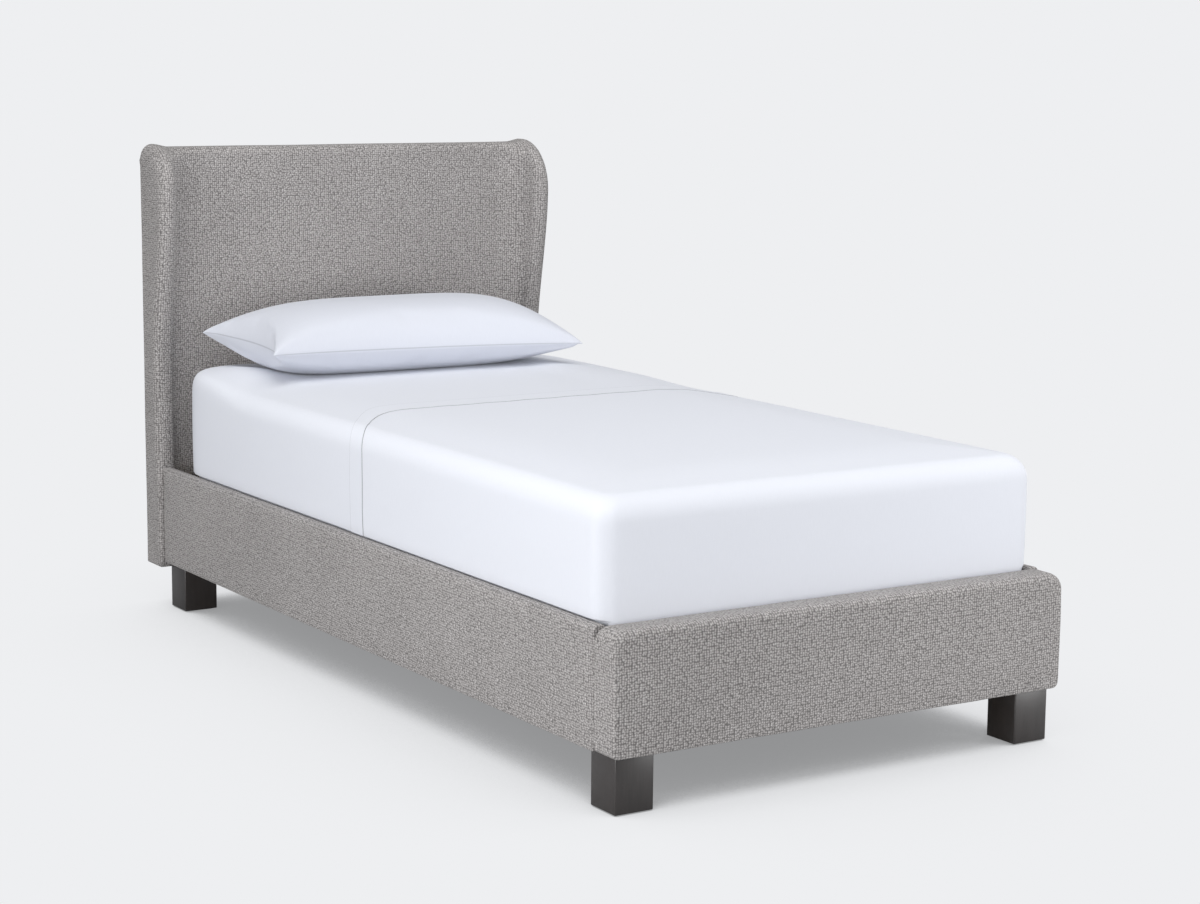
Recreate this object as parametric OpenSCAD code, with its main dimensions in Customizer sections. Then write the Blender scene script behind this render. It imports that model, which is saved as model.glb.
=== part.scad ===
// Upholstered single bed: wing headboard, covered side rails and footboard, block legs, slats, mattress,
// sheets and a pillow. Millimetres. X runs across the bed, +Y towards the headboard, +Z up.
// The origin is on the floor, under the middle of the whole bed. Left is -X, the side of the near rail.

/* [Frame] */
// Width over the covered side rails
frame_w = 1020; // [960:5:1200]
// Length from the footboard's face to the headboard's back
frame_len = 2050; // [1950:5:2250]
// Height of the rails' underside above the floor
rail_clear = 106; // [80:1:160]
// Height of the side rails and the footboard
rail_h = 227; // [200:1:280]
// Thickness of the side rail boards
rail_board_t = 18; // [15:1:24]
// Radius of the rails' soft upper edges
rail_edge_r = 12; // [8:1:13]
// Thickness of the cover fabric
fabric_t = 2; // [1:0.5:3]
// Thickness of the foam under the rail and footboard covers
pad_t = 6; // [4:0.5:10]

/* [Footboard] */
// Thickness of the covered footboard
foot_t = 70; // [60:1:90]
// Radius of the footboard's upper corners, seen from the front
foot_corner_r = 28; // [15:1:40]
// Radius of the footboard's lower corners, seen from the front
foot_low_r = 13; // [6:1:20]
// Width of the rolled edges on the footboard's top
foot_roll_r = 18; // [10:1:24]
// How far the footboard's top drops over its rolled edges
foot_roll_drop = 11; // [4:1:14]
// Radius of the footboard's upright edges
foot_side_r = 7; // [3:1:10]
// Thickness of the footboard's front and back boards
foot_face_t = 10; // [9:1:15]
// Thickness of the footboard's top and bottom boards
foot_plank_t = 20; // [15:1:25]
// Width of the footboard's end blocks
end_block_w = 74; // [50:1:100]

/* [Headboard] */
// Height of the headboard's straight top edge above the floor
head_h = 1077; // [950:1:1300]
// Height of the headboard's underside above the floor
head_clear = 94; // [70:1:140]
// How far each wing stands out past the side rail
wing_overhang = 12; // [4:1:30]
// How far the wing's top rises above the headboard's straight top edge
wing_rise = 7; // [0:1:20]
// Thickness of the headboard's middle
panel_t = 50; // [46:1:70]
// Depth of the wings at the rails
wing_base_d = 84; // [78:1:110]
// Depth of the wings where they are slimmest
wing_waist_d = 78; // [68:1:100]
// Depth of the wings under the rounded top corner
wing_top_d = 128; // [110:1:180]
// Height where the wings are slimmest
waist_z = 560; // [450:5:700]
// Radius of the wings' big front top corner
wing_corner_r = 102; // [60:1:130]
// Radius of the padded roll along the wings' front edge
nose_r = 22; // [18:1:30]
// Radius of the wings' front edge beside the rails
nose_low_r = 9; // [6:1:12]
// Width of the hollow between a wing's roll and the flat middle
hollow_w = 76; // [50:1:100]
// Radius of the headboard's top front edge
panel_edge_r = 18; // [10:1:22]
// Depth of the padded middle's lower edge below the slats' top
panel_drop = 3; // [2:1:20]
// Width over which the wings' top rounds off to the outer side
wing_top_w = 29; // [22:1:40]
// How far the wings' top drops towards the outer side
wing_top_drop = 38; // [10:1:50]
// Radius of the wings' outer back edge
wing_back_r = 10; // [6:1:14]
// Radius of the wings' outer lower edge
wing_low_r = 8; // [4:1:12]
// Thickness of the plywood face
ply_t = 6; // [4:1:9]
// Thickness of the headboard's frame boards
head_board_t = 20; // [18:1:22]
// Width of the headboard's posts and top rail
post_w = 58; // [45:1:70]
// Thickness of the wing boards
wing_board_t = 18; // [12:1:21]
// Foam between a wing board and the outer cover
wing_pad_t = 4; // [3:1:8]
// Height of the base rail board
base_rail_h = 140; // [100:5:160]
// Thickness of the base rail board
base_rail_t = 38; // [25:1:45]

/* [Legs] */
// Side of the square block legs
leg_w = 80; // [60:1:90]
// Distance from a rail's outer face to the leg
leg_inset_x = 15; // [10:1:25]
// Distance from the footboard's face to the front legs
leg_inset_y = 17; // [10:1:25]
// Gap between the back legs and the headboard
leg_head_gap = 2; // [1:1:20]
// Thickness of the glides under the legs
glide_t = 2; // [1:0.5:5]
// Side of the glides
glide_w = 62; // [30:1:70]
// Side of the steel leg plates
plate_w = 56; // [40:1:56]
// Radius of the hanger bolts in the legs
hanger_r = 4; // [3:0.5:5]
// Depth of a hanger bolt in the leg
hanger_down = 44; // [25:1:60]
// Height of a hanger bolt above the leg
hanger_up = 19; // [12:1:21]
// Height of the blocks above the legs
leg_block_h = 60; // [40:1:62]

/* [Slats] */
// Width of a slat
slat_w = 89; // [60:1:100]
// Thickness of a slat
slat_t = 19; // [15:1:25]
// Depth of the slats' top below the top of the rails
slat_drop = 40; // [25:1:60]
// Gap between a slat's end and the rail board
slat_end_gap = 6; // [2:1:12]
// Distance from the footboard or the headboard to the nearest slat
slat_first = 34; // [10:1:60]
// Side of the square ledgers
ledger_w = 30; // [24:1:40]
// Radius of a slat screw's shank
screw_r = 2; // [1.5:0.25:2.5]
// Length of a slat screw
screw_len = 42; // [32:1:46]

/* [Centre support] */
// Width of the centre beam
beam_w = 38; // [30:1:60]
// Height of the centre beam
beam_h = 64; // [45:1:90]
// Thickness of the steel in the beam hangers and the rail brackets
steel_t = 3; // [2:0.5:4]
// Length of the beam hangers
hanger_len = 42; // [30:1:60]
// Side of the centre leg
mid_leg_w = 45; // [38:1:60]
// Height of the centre leg's lower end above the floor
mid_leg_clear = 32; // [28:1:50]
// Radius of the levelling foot's pad
foot_pad_r = 20; // [14:1:22]
// Radius of the levelling foot's stem
foot_stem_r = 5; // [4:0.5:6]
// Height of the levelling foot's stem above its pad
foot_stem_h = 62; // [50:1:70]

/* [Brackets] */
// Length of a rail bracket's legs
bracket_w = 58; // [50:1:60]
// Gap between a rail bracket and the leg block below or the ledger above
bracket_gap = 4; // [2:1:8]
// Distance from a bracket's edges to its bolts
bolt_edge = 14; // [11:1:15]
// Radius of the bracket bolts
bolt_r = 4; // [3:0.5:4]
// Length of the bracket bolts that run along the bed
bolt_len = 46; // [40:1:60]

/* [Mattress] */
// Gap between the bedding and the side rails
mattress_gap = 1.5; // [1:0.5:5]
// How far the mattress bulges out above the rails
mattress_bulge = 15; // [5:1:24]
// Height of the mattress at its top edge
mattress_h = 257; // [180:1:300]
// Rise of the mattress's middle above its top edge
mattress_crown = 13; // [3:1:20]
// Width over which the mattress's top rises
crown_w = 150; // [80:5:300]
// Gap between the mattress and the footboard
mattress_foot_gap = 4; // [3:1:20]
// Gap between the mattress and the headboard's face
mattress_head_gap = 50; // [46:1:80]
// Radius of the mattress's rounded top edge
mattress_top_r = 46; // [25:1:60]
// Radius of the mattress's lower edge
mattress_low_r = 22; // [10:1:30]
// Radius of the mattress's upright foot corners
mattress_foot_r = 36; // [20:1:80]
// Radius of the mattress's upright head corners
mattress_head_r = 130; // [70:1:140]

/* [Sheets] */
// Thickness of the fitted sheet
fitted_t = 1.5; // [0.8:0.1:2]
// Thickness of the flat sheet
flat_t = 1.2; // [0.8:0.1:2]
// Width of the fitted sheet's edge under the mattress
fitted_return = 90; // [40:5:150]
// Distance of the flat sheet's edge from the foot end of the mattress, along its middle
flat_reach = 1105; // [900:5:1400]
// Radius of the flat sheet's drawn-back side corners, seen from above
flat_corner_r = 155; // [100:5:300]
// Height of the tucked sides of the flat sheet above the slats
flat_tuck = 12; // [4:1:35]

/* [Pillow] */
// Length of the pillow from corner to corner
pillow_len = 800; // [600:10:840]
// Depth of the pillow from corner to corner
pillow_d = 395; // [320:5:420]
// Height of the pillow
pillow_h = 165; // [100:1:190]
// Height of the pillow's seam above its underside
pillow_seam = 64; // [40:1:80]
// How much higher the back seam lies than the front seam
pillow_tilt = 14; // [0:1:40]
// Distance from the pillow's back corners to the headboard's face
pillow_head_gap = 38; // [30:1:120]
// How far the pillow's long sides are drawn in between the corners
pillow_draw_y = 25; // [5:1:30]
// How far the pillow's ends are drawn in between the corners
pillow_draw_x = 34; // [5:1:45]
// Thickness of the pillowcase
case_t = 1.5; // [0.8:0.1:2]
// Thickness of the pillow's flat sewn edge
pillow_edge_t = 5; // [4:0.5:8]

/* [Hidden] */

// Colours as in the photograph
tweed = "#9a9592";
foam_colour = "#e6dfb8";
timber = "#cdb188";
ply = "#d8c39a";
espresso = "#3a3532";
steel = "#8c9095";
white_cloth = "#eef0f6";
lining = "#2e2e30";

// Clearances
seat = 0.3;        // between pieces that rest on each other on different bodies
seam_gap = 0.3;    // between the covers of two neighbouring parts
bore_gap = 0.05;   // around a screw or bolt
stem_gap = 0.1;    // around the levelling foot's stem
step = 1;          // how far a cutting solid runs past what it cuts

// Frame planes
foot_y = -frame_len / 2;
back_y = frame_len / 2;
foot_back = foot_y + foot_t;
rail_out = frame_w / 2;
board_out = rail_out - fabric_t - pad_t;
board_in = board_out - rail_board_t;
rail_in = board_in - fabric_t;
rail_top = rail_clear + rail_h;
board_low = rail_clear + fabric_t;
board_top = rail_top - fabric_t - pad_t;
foot_box_back = foot_back - fabric_t;
foot_box_front = foot_y + fabric_t + pad_t;
foot_side_back = quarter(foot_side_r, foot_side_r - fabric_t);    // how far its sides are rounded in there
foot_roll_back = foot_roll_drop * quarter(1, 1 - fabric_t / foot_roll_r);
foot_corner_x = board_out - rail_out + foot_side_back + foot_corner_r;
foot_corner_z = sqrt(max(0, pow(foot_corner_r - fabric_t, 2) - pow(foot_corner_x, 2)));
foot_box_top = min(board_top, rail_top - foot_roll_back - foot_corner_r + foot_corner_z);
slat_top = rail_top - slat_drop;
ledger_top = slat_top - slat_t;

// Headboard planes
head_half = rail_out + wing_overhang;
panel_front = back_y - panel_t;
frame_back = back_y - fabric_t;
frame_front = frame_back - head_board_t;
ply_front = frame_front - ply_t;
wing_base_front = back_y - wing_base_d;
nose_x = head_half - nose_r;
hollow_x = nose_x - nose_r;
panel_x = hollow_x - hollow_w;
wing_board_out = head_half - fabric_t - wing_pad_t;
wing_board_in = wing_board_out - wing_board_t;
post_in = wing_board_in - post_w;
block_in = rail_in - post_w;
panel_low = slat_top - panel_drop;
frame_low = head_clear + fabric_t;
frame_top = head_h - max(fabric_t + pad_t, wing_back_r);
roll_share = 0.3;   // part of the step from wing to middle that the front roll takes

// Legs
leg_x = rail_out - leg_inset_x - leg_w / 2;
leg_front_y = foot_y + leg_inset_y + leg_w / 2;
leg_back_y = wing_base_front - leg_head_gap - leg_w / 2;
bracket_low = board_low + leg_block_h + bracket_gap;
bracket_top = ledger_top - ledger_w - bracket_gap;

// Function that turns smoothly from 0 to 1 as t goes from 0 to 1
function ease(t) = (1 - cos(180 * max(0, min(1, t)))) / 2;
// Drop of a quarter circle of radius r, d past its start
function quarter(r, d) = r <= 0 ? 0 : r * (1 - sqrt(max(0, 1 - pow(max(0, min(1, d / r)), 2))));
function sum(v, i = 0) = i < len(v) ? v[i] + sum(v, i + 1) : v[0] * 0;

// Outline of a rectangle with its own radius at each corner, anticlockwise from the low left one
function rounded_rect(x0, x1, y0, y1, r, n) = [for (c = [0:3], k = [0:n])
    let (cx = (c == 0 || c == 3) ? x0 + r[c] : x1 - r[c],
         cy = c < 2 ? y0 + r[c] : y1 - r[c],
         a = 180 + 90 * c + 90 * k / n)
    [cx + r[c] * cos(a), cy + r[c] * sin(a)]];

// Closed skin over a row of rings that have equally many points and run anticlockwise, seen from the last
// ring's side. Each end is a fan around its hub.
module loft(rings, first_hub, last_hub) {
    n = len(rings[0]);
    m = len(rings);
    hub_a = is_undef(first_hub) ? sum(rings[0]) / n : first_hub;
    hub_b = is_undef(last_hub) ? sum(rings[m - 1]) / n : last_hub;
    points = concat([for (ring = rings, p = ring) p], [hub_a, hub_b]);
    walls = [for (j = [0:m - 2], i = [0:n - 1], half = [0, 1])
        let (a = j * n + i, b = j * n + (i + 1) % n, c = a + n, d = b + n)
        half == 0 ? [a, d, b] : [a, c, d]];
    first = [for (i = [0:n - 1]) [n * m, i, (i + 1) % n]];
    last = [for (i = [0:n - 1]) [n * m + 1, (m - 1) * n + (i + 1) % n, (m - 1) * n + i]];
    polyhedron(points, concat(walls, first, last));
}

// Box between two corners
module block(a, b) {
    translate(a) cube(b - a);
}

// The same piece on the left (-1) or the right (1) side
module on_side(side) {
    if (side < 0) mirror([1, 0, 0]) children();
    else children();
}

// The same piece on both sides
module both_sides() {
    on_side(1) children();
    on_side(-1) children();
}

// Wing depth from the headboard's back, at height z
wing_corner_z = head_h + wing_rise - wing_corner_r;
function wing_depth(z) = z < waist_z
    ? wing_base_d + (wing_waist_d - wing_base_d) * ease((z - rail_top) / (waist_z - rail_top))
    : wing_waist_d + (wing_top_d - wing_waist_d) * ease((z - waist_z) / (wing_corner_z - waist_z));
// Share of the step from the wing's front to the headboard's middle that is done at x
function hollow_share(x) = x >= nose_x ? 0
    : x > hollow_x ? roll_share * quarter(1, (nose_x - x) / nose_r)
    : x > panel_x ? 1 - (1 - roll_share) * (1 - sqrt(max(0, 1 - pow((x - panel_x) / hollow_w, 2))))
    : 1;
// Radius of the wing's outer front edge, tighter beside the rails
edge_turn = 120;    // height over which the edge's radius changes
function edge_r(z) = nose_low_r + (nose_r - nose_low_r) * ease((z - rail_top) / edge_turn + 0.5);

// Side outline of the headboard at x, drawn in by t on all sides
function head_section(x, t) =
    let (s = hollow_share(x - t),
         half = head_half - t,
         top = head_h - t + wing_rise * ease(1 - (nose_x - x) / (2 * nose_r))
             - wing_top_drop * quarter(1, (x - half) / wing_top_w + 1),
         low = head_clear + t + quarter(wing_low_r - t, x - half + wing_low_r - t),
         rb = max(1, wing_back_r - t),
         back = back_y - t - quarter(rb, x - half + rb),
         r = (wing_corner_r - t) * (1 - s) + (panel_edge_r - t) * s,
         zc = top - r,
         z1 = rail_top + edge_turn / 4,
         levels = concat([for (k = [0:3]) low + (z1 - low) * k / 3], [for (k = [1:8]) z1 + (zc - z1) * k / 8]),
         front = [for (z = levels) back_y - wing_depth(z) + t + (wing_depth(z) - panel_t) * s
             + quarter(edge_r(z) - t, x - half + edge_r(z) - t)],
         fc = front[len(front) - 1])
    concat(
        [for (k = [len(levels) - 1:-1:0]) [front[k], levels[k]]],
        [[back, low]],
        [for (k = [0:2]) [back - rb + rb * cos(45 * k), top - rb + rb * sin(45 * k)]],
        [for (k = [0:5]) [fc + r * (1 - sin(15 * k)), zc + r * cos(15 * k)]]);

// Places across the wing where its outline is taken, from x0 outwards
function wing_stations(t, x0) = concat(
    [x0],
    [for (a = [72:-18:0]) panel_x + hollow_w * cos(a)],
    [for (a = [60, 35, 0]) nose_x - nose_r * sin(a)],
    [for (a = [22, 42, 60, 76, 90]) nose_x + (nose_r - t) * sin(a)]);

// Solid shape of one wing from x0 outwards, drawn in by t
module wing_shape(t, x0) {
    loft([for (x = wing_stations(t, x0)) [for (p = head_section(x, t)) [x, p[0], p[1]]]],
        [x0, back_y - panel_t / 2, waist_z], [head_half - t, back_y - wing_waist_d / 3, waist_z]);
}

// Room of the posts and blocks below the slats' top, cut away from the wing up to y
module wing_inner_cut(y) {
    block([0, wing_base_front - step, 0], [rail_in, y, panel_low]);
}

module wing_cover(side) {
    color(tweed) on_side(side) difference() {
        wing_shape(0, panel_x);
        wing_shape(fabric_t, panel_x - step);
        wing_inner_cut(frame_front);
    }
}

module wing_foam(side) {
    color(foam_colour) on_side(side) difference() {
        wing_shape(fabric_t, panel_x);
        wing_inner_cut(back_y);
        block([0, ply_front, panel_low], [wing_board_in, back_y, frame_top]);
        block([0, frame_front, frame_low - step], [wing_board_in, back_y, panel_low + step]);
        wing_board_shape(wing_board_in, wing_board_out);
    }
}

// Outline of a wing board: the headboard's own outline near its rounded side, drawn in
wing_board_inset = fabric_t + pad_t + 1;
wing_board_taper = 5;    // distance from the board's outer face where the outline is taken
module wing_board_shape(x0, x1) {
    outline = head_section(wing_board_out - wing_board_taper, wing_board_inset);
    translate([x0, 0, 0]) rotate([90, 0, 90]) linear_extrude(x1 - x0) polygon(outline);
}

module wing_board(side) {
    color(timber) on_side(side) wing_board_shape(wing_board_in, wing_board_out);
}

// Outline of the headboard's middle, drawn in by t
module panel_outline(t) {
    polygon(head_section(0, t));
}

module along_x(half) {
    translate([-half, 0, 0]) rotate([90, 0, 90]) linear_extrude(2 * half) children();
}

// Back flap of the front cover, below the headboard's top
cover_flap = 46;
module headboard_front_cover() {
    color(tweed) along_x(panel_x) difference() {
        panel_outline(0);
        panel_outline(fabric_t);
        translate([panel_front - step, 0]) square([panel_t + 2 * step, panel_low]);
        translate([ply_front, 0]) square([panel_t, head_h - cover_flap]);
    }
}

module headboard_foam() {
    color(foam_colour) along_x(panel_x) difference() {
        panel_outline(fabric_t);
        translate([panel_front - step, 0]) square([panel_t + 2 * step, panel_low]);
        translate([ply_front, 0]) square([panel_t, frame_top]);
        translate([frame_back - step, 0]) square([panel_t, head_h]);
    }
}

module headboard_plywood() {
    color(ply) block([-wing_board_in, ply_front, panel_low], [wing_board_in, frame_front, frame_top]);
}

module headboard_top_rail() {
    color(timber) block([-post_in, frame_front, frame_top - post_w], [post_in, frame_back, frame_top]);
}

module headboard_base_rail() {
    color(timber) block([-block_in, frame_back - base_rail_t, panel_low - base_rail_h],
        [block_in, frame_back, panel_low]);
}

// Post with the glued block in front that takes the rail bracket
module headboard_post(side) {
    color(timber) on_side(side) difference() {
        union() {
            block([post_in, frame_front, frame_low], [wing_board_in, frame_back, frame_top]);
            block([block_in, wing_base_front, frame_low], [rail_in, frame_front + step, panel_low]);
        }
        block([0, frame_front, 0], [post_in, back_y, frame_top + step]);
        head_bolt_holes();
    }
}

module headboard_back_cloth() {
    color(lining) block([-panel_x, frame_back, frame_low], [panel_x, frame_back + fabric_t / 2,
        head_h - cover_flap]);
}

// Side rail, seen along the bed: rounded outline drawn in by t from the cover's outer faces
function rail_outline(t) = rounded_rect(board_in - fabric_t + t, rail_out - t, rail_clear + t, rail_top - t,
    [1, 6, rail_edge_r, rail_edge_r] - t * [0, 1, 1, 1], 4);
rail_from = foot_back + seam_gap;
rail_to = wing_base_front - seam_gap;

module along_rail(y0, y1) {
    translate([0, y1, 0]) rotate([90, 0, 0]) linear_extrude(y1 - y0) children();
}

module rail_cover(side) {
    color(tweed) on_side(side) along_rail(rail_from, rail_to) difference() {
        polygon(rail_outline(0));
        polygon(rail_outline(fabric_t));
        translate([rail_in - step, 0]) square([fabric_t + 2 * step, slat_top]);
        translate([board_in - step, board_low]) square([rail_board_t, board_top - board_low]);
        translate([rail_in - step, rail_clear - step]) square([fabric_t + step, fabric_t + 2 * step]);
    }
}

module rail_foam(side) {
    color(foam_colour) on_side(side) along_rail(rail_from, rail_to) difference() {
        polygon(rail_outline(fabric_t));
        translate([rail_in - step, 0]) square([rail_board_t + fabric_t + step, board_top]);
    }
}

module rail_board(side) {
    color(timber) on_side(side) difference() {
        block([board_in, foot_box_back, board_low], [board_out, rail_to, board_top]);
        block([board_in - step, foot_box_back - step, slat_top], [board_out + step, rail_from, rail_top]);
        rail_bolt_holes();
    }
}

module slat_ledger(side) {
    color(timber) on_side(side) difference() {
        block([board_in - ledger_w, foot_box_back, ledger_top - ledger_w], [board_in, rail_to, ledger_top]);
        for (i = [1:slat_n]) screw_hole(i);
    }
}

// Footboard outline at y, seen from the front, drawn in by t
function foot_ring(y, t) =
    let (d = min(y - foot_y - t, foot_back - t - y),
         roll = foot_roll_drop * quarter(1, 1 - d / (foot_roll_r - t)),
         side = quarter(foot_side_r, foot_side_r - d),
         half = rail_out - t - side,
         out = rounded_rect(-half, half, rail_clear + t + side / 2, rail_top - t - roll,
             [foot_low_r, foot_low_r, foot_corner_r, foot_corner_r] - t * [1, 1, 1, 1], 5))
    [for (p = out) [-p[0], y, p[1]]];

module foot_shape(t) {
    depth = foot_roll_r - t;
    steps = [for (a = [0, 18, 36, 54, 72, 90]) depth * (1 - cos(a))];
    y0 = foot_y + t;
    y1 = foot_back - t;
    rows = concat([for (d = steps) y0 + d], [for (k = [5:-1:0]) y1 - steps[k]]);
    loft([for (y = rows) foot_ring(y, t)]);
}

module foot_box(grow) {
    block([-board_out, foot_box_front, board_low - grow], [board_out, foot_box_back + grow, foot_box_top]);
}

module footboard_cover() {
    color(tweed) difference() {
        foot_shape(0);
        foot_shape(fabric_t);
        foot_box(0);
        block([-board_out, leg_front_y - leg_w / 2 + fabric_t, 0], [board_out, foot_back + step, board_low]);
        block([-board_out, foot_box_back - step, 0], [board_out, foot_back + step, slat_top]);
    }
}

module footboard_foam() {
    color(foam_colour) difference() {
        foot_shape(fabric_t);
        foot_box(step);
    }
}

module footboard_front_board() {
    color(ply) block([-board_out, foot_box_front, board_low + foot_plank_t],
        [board_out, foot_box_front + foot_face_t, foot_box_top - foot_plank_t]);
}

module footboard_back_board() {
    color(ply) difference() {
        block([-board_out, foot_box_back - foot_face_t, board_low + foot_plank_t],
            [board_out, foot_box_back, foot_box_top - foot_plank_t]);
        both_sides() foot_bolt_holes();
    }
}

module footboard_top_board() {
    color(timber) block([-board_out, foot_box_front, foot_box_top - foot_plank_t],
        [board_out, foot_box_back, foot_box_top]);
}

module footboard_bottom_board() {
    color(timber) difference() {
        block([-board_out, foot_box_front, board_low], [board_out, foot_box_back, board_low + foot_plank_t]);
        hanger_holes();
    }
}

module footboard_end_blocks() {
    color(timber) both_sides() difference() {
        block([board_out - end_block_w, foot_box_front + foot_face_t, board_low + foot_plank_t],
            [board_out, foot_box_back - foot_face_t, foot_box_top - foot_plank_t]);
        foot_bolt_holes();
    }
}

// Rail brackets: steel angles inside the frame's corners, bolted to the rail and to the board across it
head_flange_y = wing_base_front - steel_t;
foot_flange_y = foot_box_back + steel_t;
bolt_x = board_in - bracket_w + bolt_edge;
bolt_y = bracket_w - bolt_edge;
bolt_z = [bracket_low + bolt_edge, bracket_top - bolt_edge];
bolt_wall = 3;      // wood left in front of a bolt's end
rail_bolt_len = rail_board_t + steel_t - bolt_wall;
bolt_head_r = bolt_r * 1.6;
bolt_head_h = bolt_r * 0.9;

module rail_bracket() {
    difference() {
        union() {
            block([board_in - bracket_w, 0, bracket_low], [board_in, steel_t, bracket_top]);
            block([board_in - steel_t, 0, bracket_low], [board_in, bracket_w, bracket_top]);
        }
        for (z = bolt_z) {
            translate([bolt_x, -step, z]) rotate([-90, 0, 0]) cylinder(h = steel_t + 2 * step,
                r = bolt_r + bore_gap, $fn = 32);
            translate([board_in + step, bolt_y, z]) rotate([0, -90, 0]) cylinder(h = steel_t + 2 * step,
                r = bolt_r + bore_gap, $fn = 32);
        }
    }
}

module at_foot_corner() {
    translate([0, foot_box_back, 0]) children();
}

module at_head_corner() {
    translate([0, wing_base_front, 0]) mirror([0, 1, 0]) children();
}

module rail_brackets() {
    color(steel) both_sides() {
        at_foot_corner() rail_bracket();
        at_head_corner() rail_bracket();
    }
}

// Hex-headed bolt along -Z with its head above the origin
module hex_bolt(r, length) {
    translate([0, 0, -length]) cylinder(h = length, r = r, $fn = 32);
    cylinder(h = bolt_head_h, r = bolt_head_r, $fn = 6);
}

module corner_bolts() {
    for (z = bolt_z) {
        translate([bolt_x, steel_t, z]) rotate([-90, 0, 0]) hex_bolt(bolt_r, bolt_len);
        translate([board_in - steel_t, bolt_y, z]) rotate([0, -90, 0]) hex_bolt(bolt_r, rail_bolt_len);
    }
}

module bracket_bolts() {
    color(steel) both_sides() {
        at_foot_corner() corner_bolts();
        at_head_corner() corner_bolts();
    }
}

// Bores for the bolts that run along the bed, in the footboard and in the headboard's posts
module cross_bolt_holes() {
    for (z = bolt_z) translate([bolt_x, step, z]) rotate([90, 0, 0])
        cylinder(h = bolt_len - steel_t + 2 * step, r = bolt_r + bore_gap, $fn = 32);
}

module foot_bolt_holes() {
    at_foot_corner() cross_bolt_holes();
}

module head_bolt_holes() {
    at_head_corner() cross_bolt_holes();
}

// Bores for the bolts that run across the bed, in the rail boards
module rail_bolt_holes() {
    for (z = bolt_z) {
        at_foot_corner() translate([board_in - step, bolt_y, z]) rotate([0, 90, 0])
            cylinder(h = rail_bolt_len - steel_t + 2 * step, r = bolt_r + bore_gap, $fn = 32);
        at_head_corner() translate([board_in - step, bolt_y, z]) rotate([0, 90, 0])
            cylinder(h = rail_bolt_len - steel_t + 2 * step, r = bolt_r + bore_gap, $fn = 32);
    }
}

// Places of the four legs, front ones first
leg_places = [for (y = [leg_front_y, leg_back_y], side = [-1, 1]) [side * leg_x, y, 0]];

module hanger_holes() {
    for (p = leg_places) translate(p + [0, 0, rail_clear - hanger_down - step])
        cylinder(h = hanger_down + hanger_up + 2 * step, r = hanger_r + bore_gap, $fn = 32);
}

module leg(i) {
    color(espresso) difference() {
        translate(leg_places[i] + [-leg_w / 2, -leg_w / 2, glide_t]) cube([leg_w, leg_w, rail_clear - glide_t]);
        hanger_holes();
    }
}

module leg_plates() {
    color(steel) difference() {
        for (p = leg_places) translate(p + [-plate_w / 2, -plate_w / 2, rail_clear])
            cube([plate_w, plate_w, fabric_t]);
        hanger_holes();
    }
}

module leg_bolts() {
    color(steel) for (p = leg_places) translate(p + [0, 0, rail_clear - hanger_down])
        cylinder(h = hanger_down + hanger_up, r = hanger_r, $fn = 32);
}

module leg_glides() {
    color(lining) for (p = leg_places) translate(p + [-glide_w / 2, -glide_w / 2, 0])
        cube([glide_w, glide_w, glide_t]);
}

// Blocks glued into the corners above the legs
module leg_blocks() {
    color(timber) difference() {
        both_sides() {
            block([board_in - leg_w, foot_box_back, board_low],
                [board_in, foot_box_back + leg_w, board_low + leg_block_h]);
            block([board_in - leg_w, leg_back_y - leg_w / 2, board_low],
                [board_in, leg_back_y + leg_w / 2, board_low + leg_block_h]);
        }
        hanger_holes();
    }
}

// Slats, evenly spaced along the ledgers
slat_n = 11;
slat_from = foot_back + slat_first + slat_w / 2;
slat_to = wing_base_front - slat_first - slat_w / 2;
function slat_y(i) = slat_from + (slat_to - slat_from) * (i - 1) / (slat_n - 1);
slat_half = board_in - slat_end_gap;
screw_x = board_in - ledger_w / 2;
screw_head_r = screw_r * 2;
screw_head_h = screw_r;

module screw_shape(i, gap) {
    for (side = [-1, 1]) translate([side * screw_x, slat_y(i), slat_top - screw_len]) {
        cylinder(h = screw_len, r = screw_r + gap, $fn = 24);
        translate([0, 0, screw_len - screw_head_h]) cylinder(h = screw_head_h + gap, r1 = screw_r + gap,
            r2 = screw_head_r + 2 * gap, $fn = 24);
    }
}

module screw_hole(i) {
    screw_shape(i, bore_gap);
}

module slat(i) {
    color(timber) difference() {
        block([-slat_half, slat_y(i) - slat_w / 2, ledger_top], [slat_half, slat_y(i) + slat_w / 2, slat_top]);
        screw_hole(i);
    }
}

module slat_screws() {
    color(steel) for (i = [1:slat_n]) screw_shape(i, 0);
}

// Centre beam in its two hangers, with one leg and a screw-in foot
beam_from = foot_box_back + steel_t;
beam_to = frame_back - base_rail_t - steel_t;
beam_low = ledger_top - beam_h;

module centre_beam() {
    color(timber) block([-beam_w / 2, beam_from, beam_low], [beam_w / 2, beam_to, ledger_top]);
}

module beam_hanger() {
    difference() {
        block([-beam_w / 2 - steel_t, 0, beam_low - steel_t],
            [beam_w / 2 + steel_t, hanger_len, ledger_top - steel_t]);
        block([-beam_w / 2, steel_t, beam_low], [beam_w / 2, hanger_len + step, ledger_top]);
    }
}

module beam_hangers() {
    color(steel) {
        translate([0, foot_box_back, 0]) beam_hanger();
        translate([0, frame_back - base_rail_t, 0]) mirror([0, 1, 0]) beam_hanger();
    }
}

foot_pad_h = 8;
foot_floor_gap = 0.4;    // the levelling foot is screwed down to just above the floor
module centre_leg() {
    color(timber) difference() {
        block([-mid_leg_w / 2, -mid_leg_w / 2, mid_leg_clear], [mid_leg_w / 2, mid_leg_w / 2, beam_low]);
        translate([0, 0, mid_leg_clear - step])
            cylinder(h = foot_stem_h + step, r = foot_stem_r + stem_gap, $fn = 32);
    }
}

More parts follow.
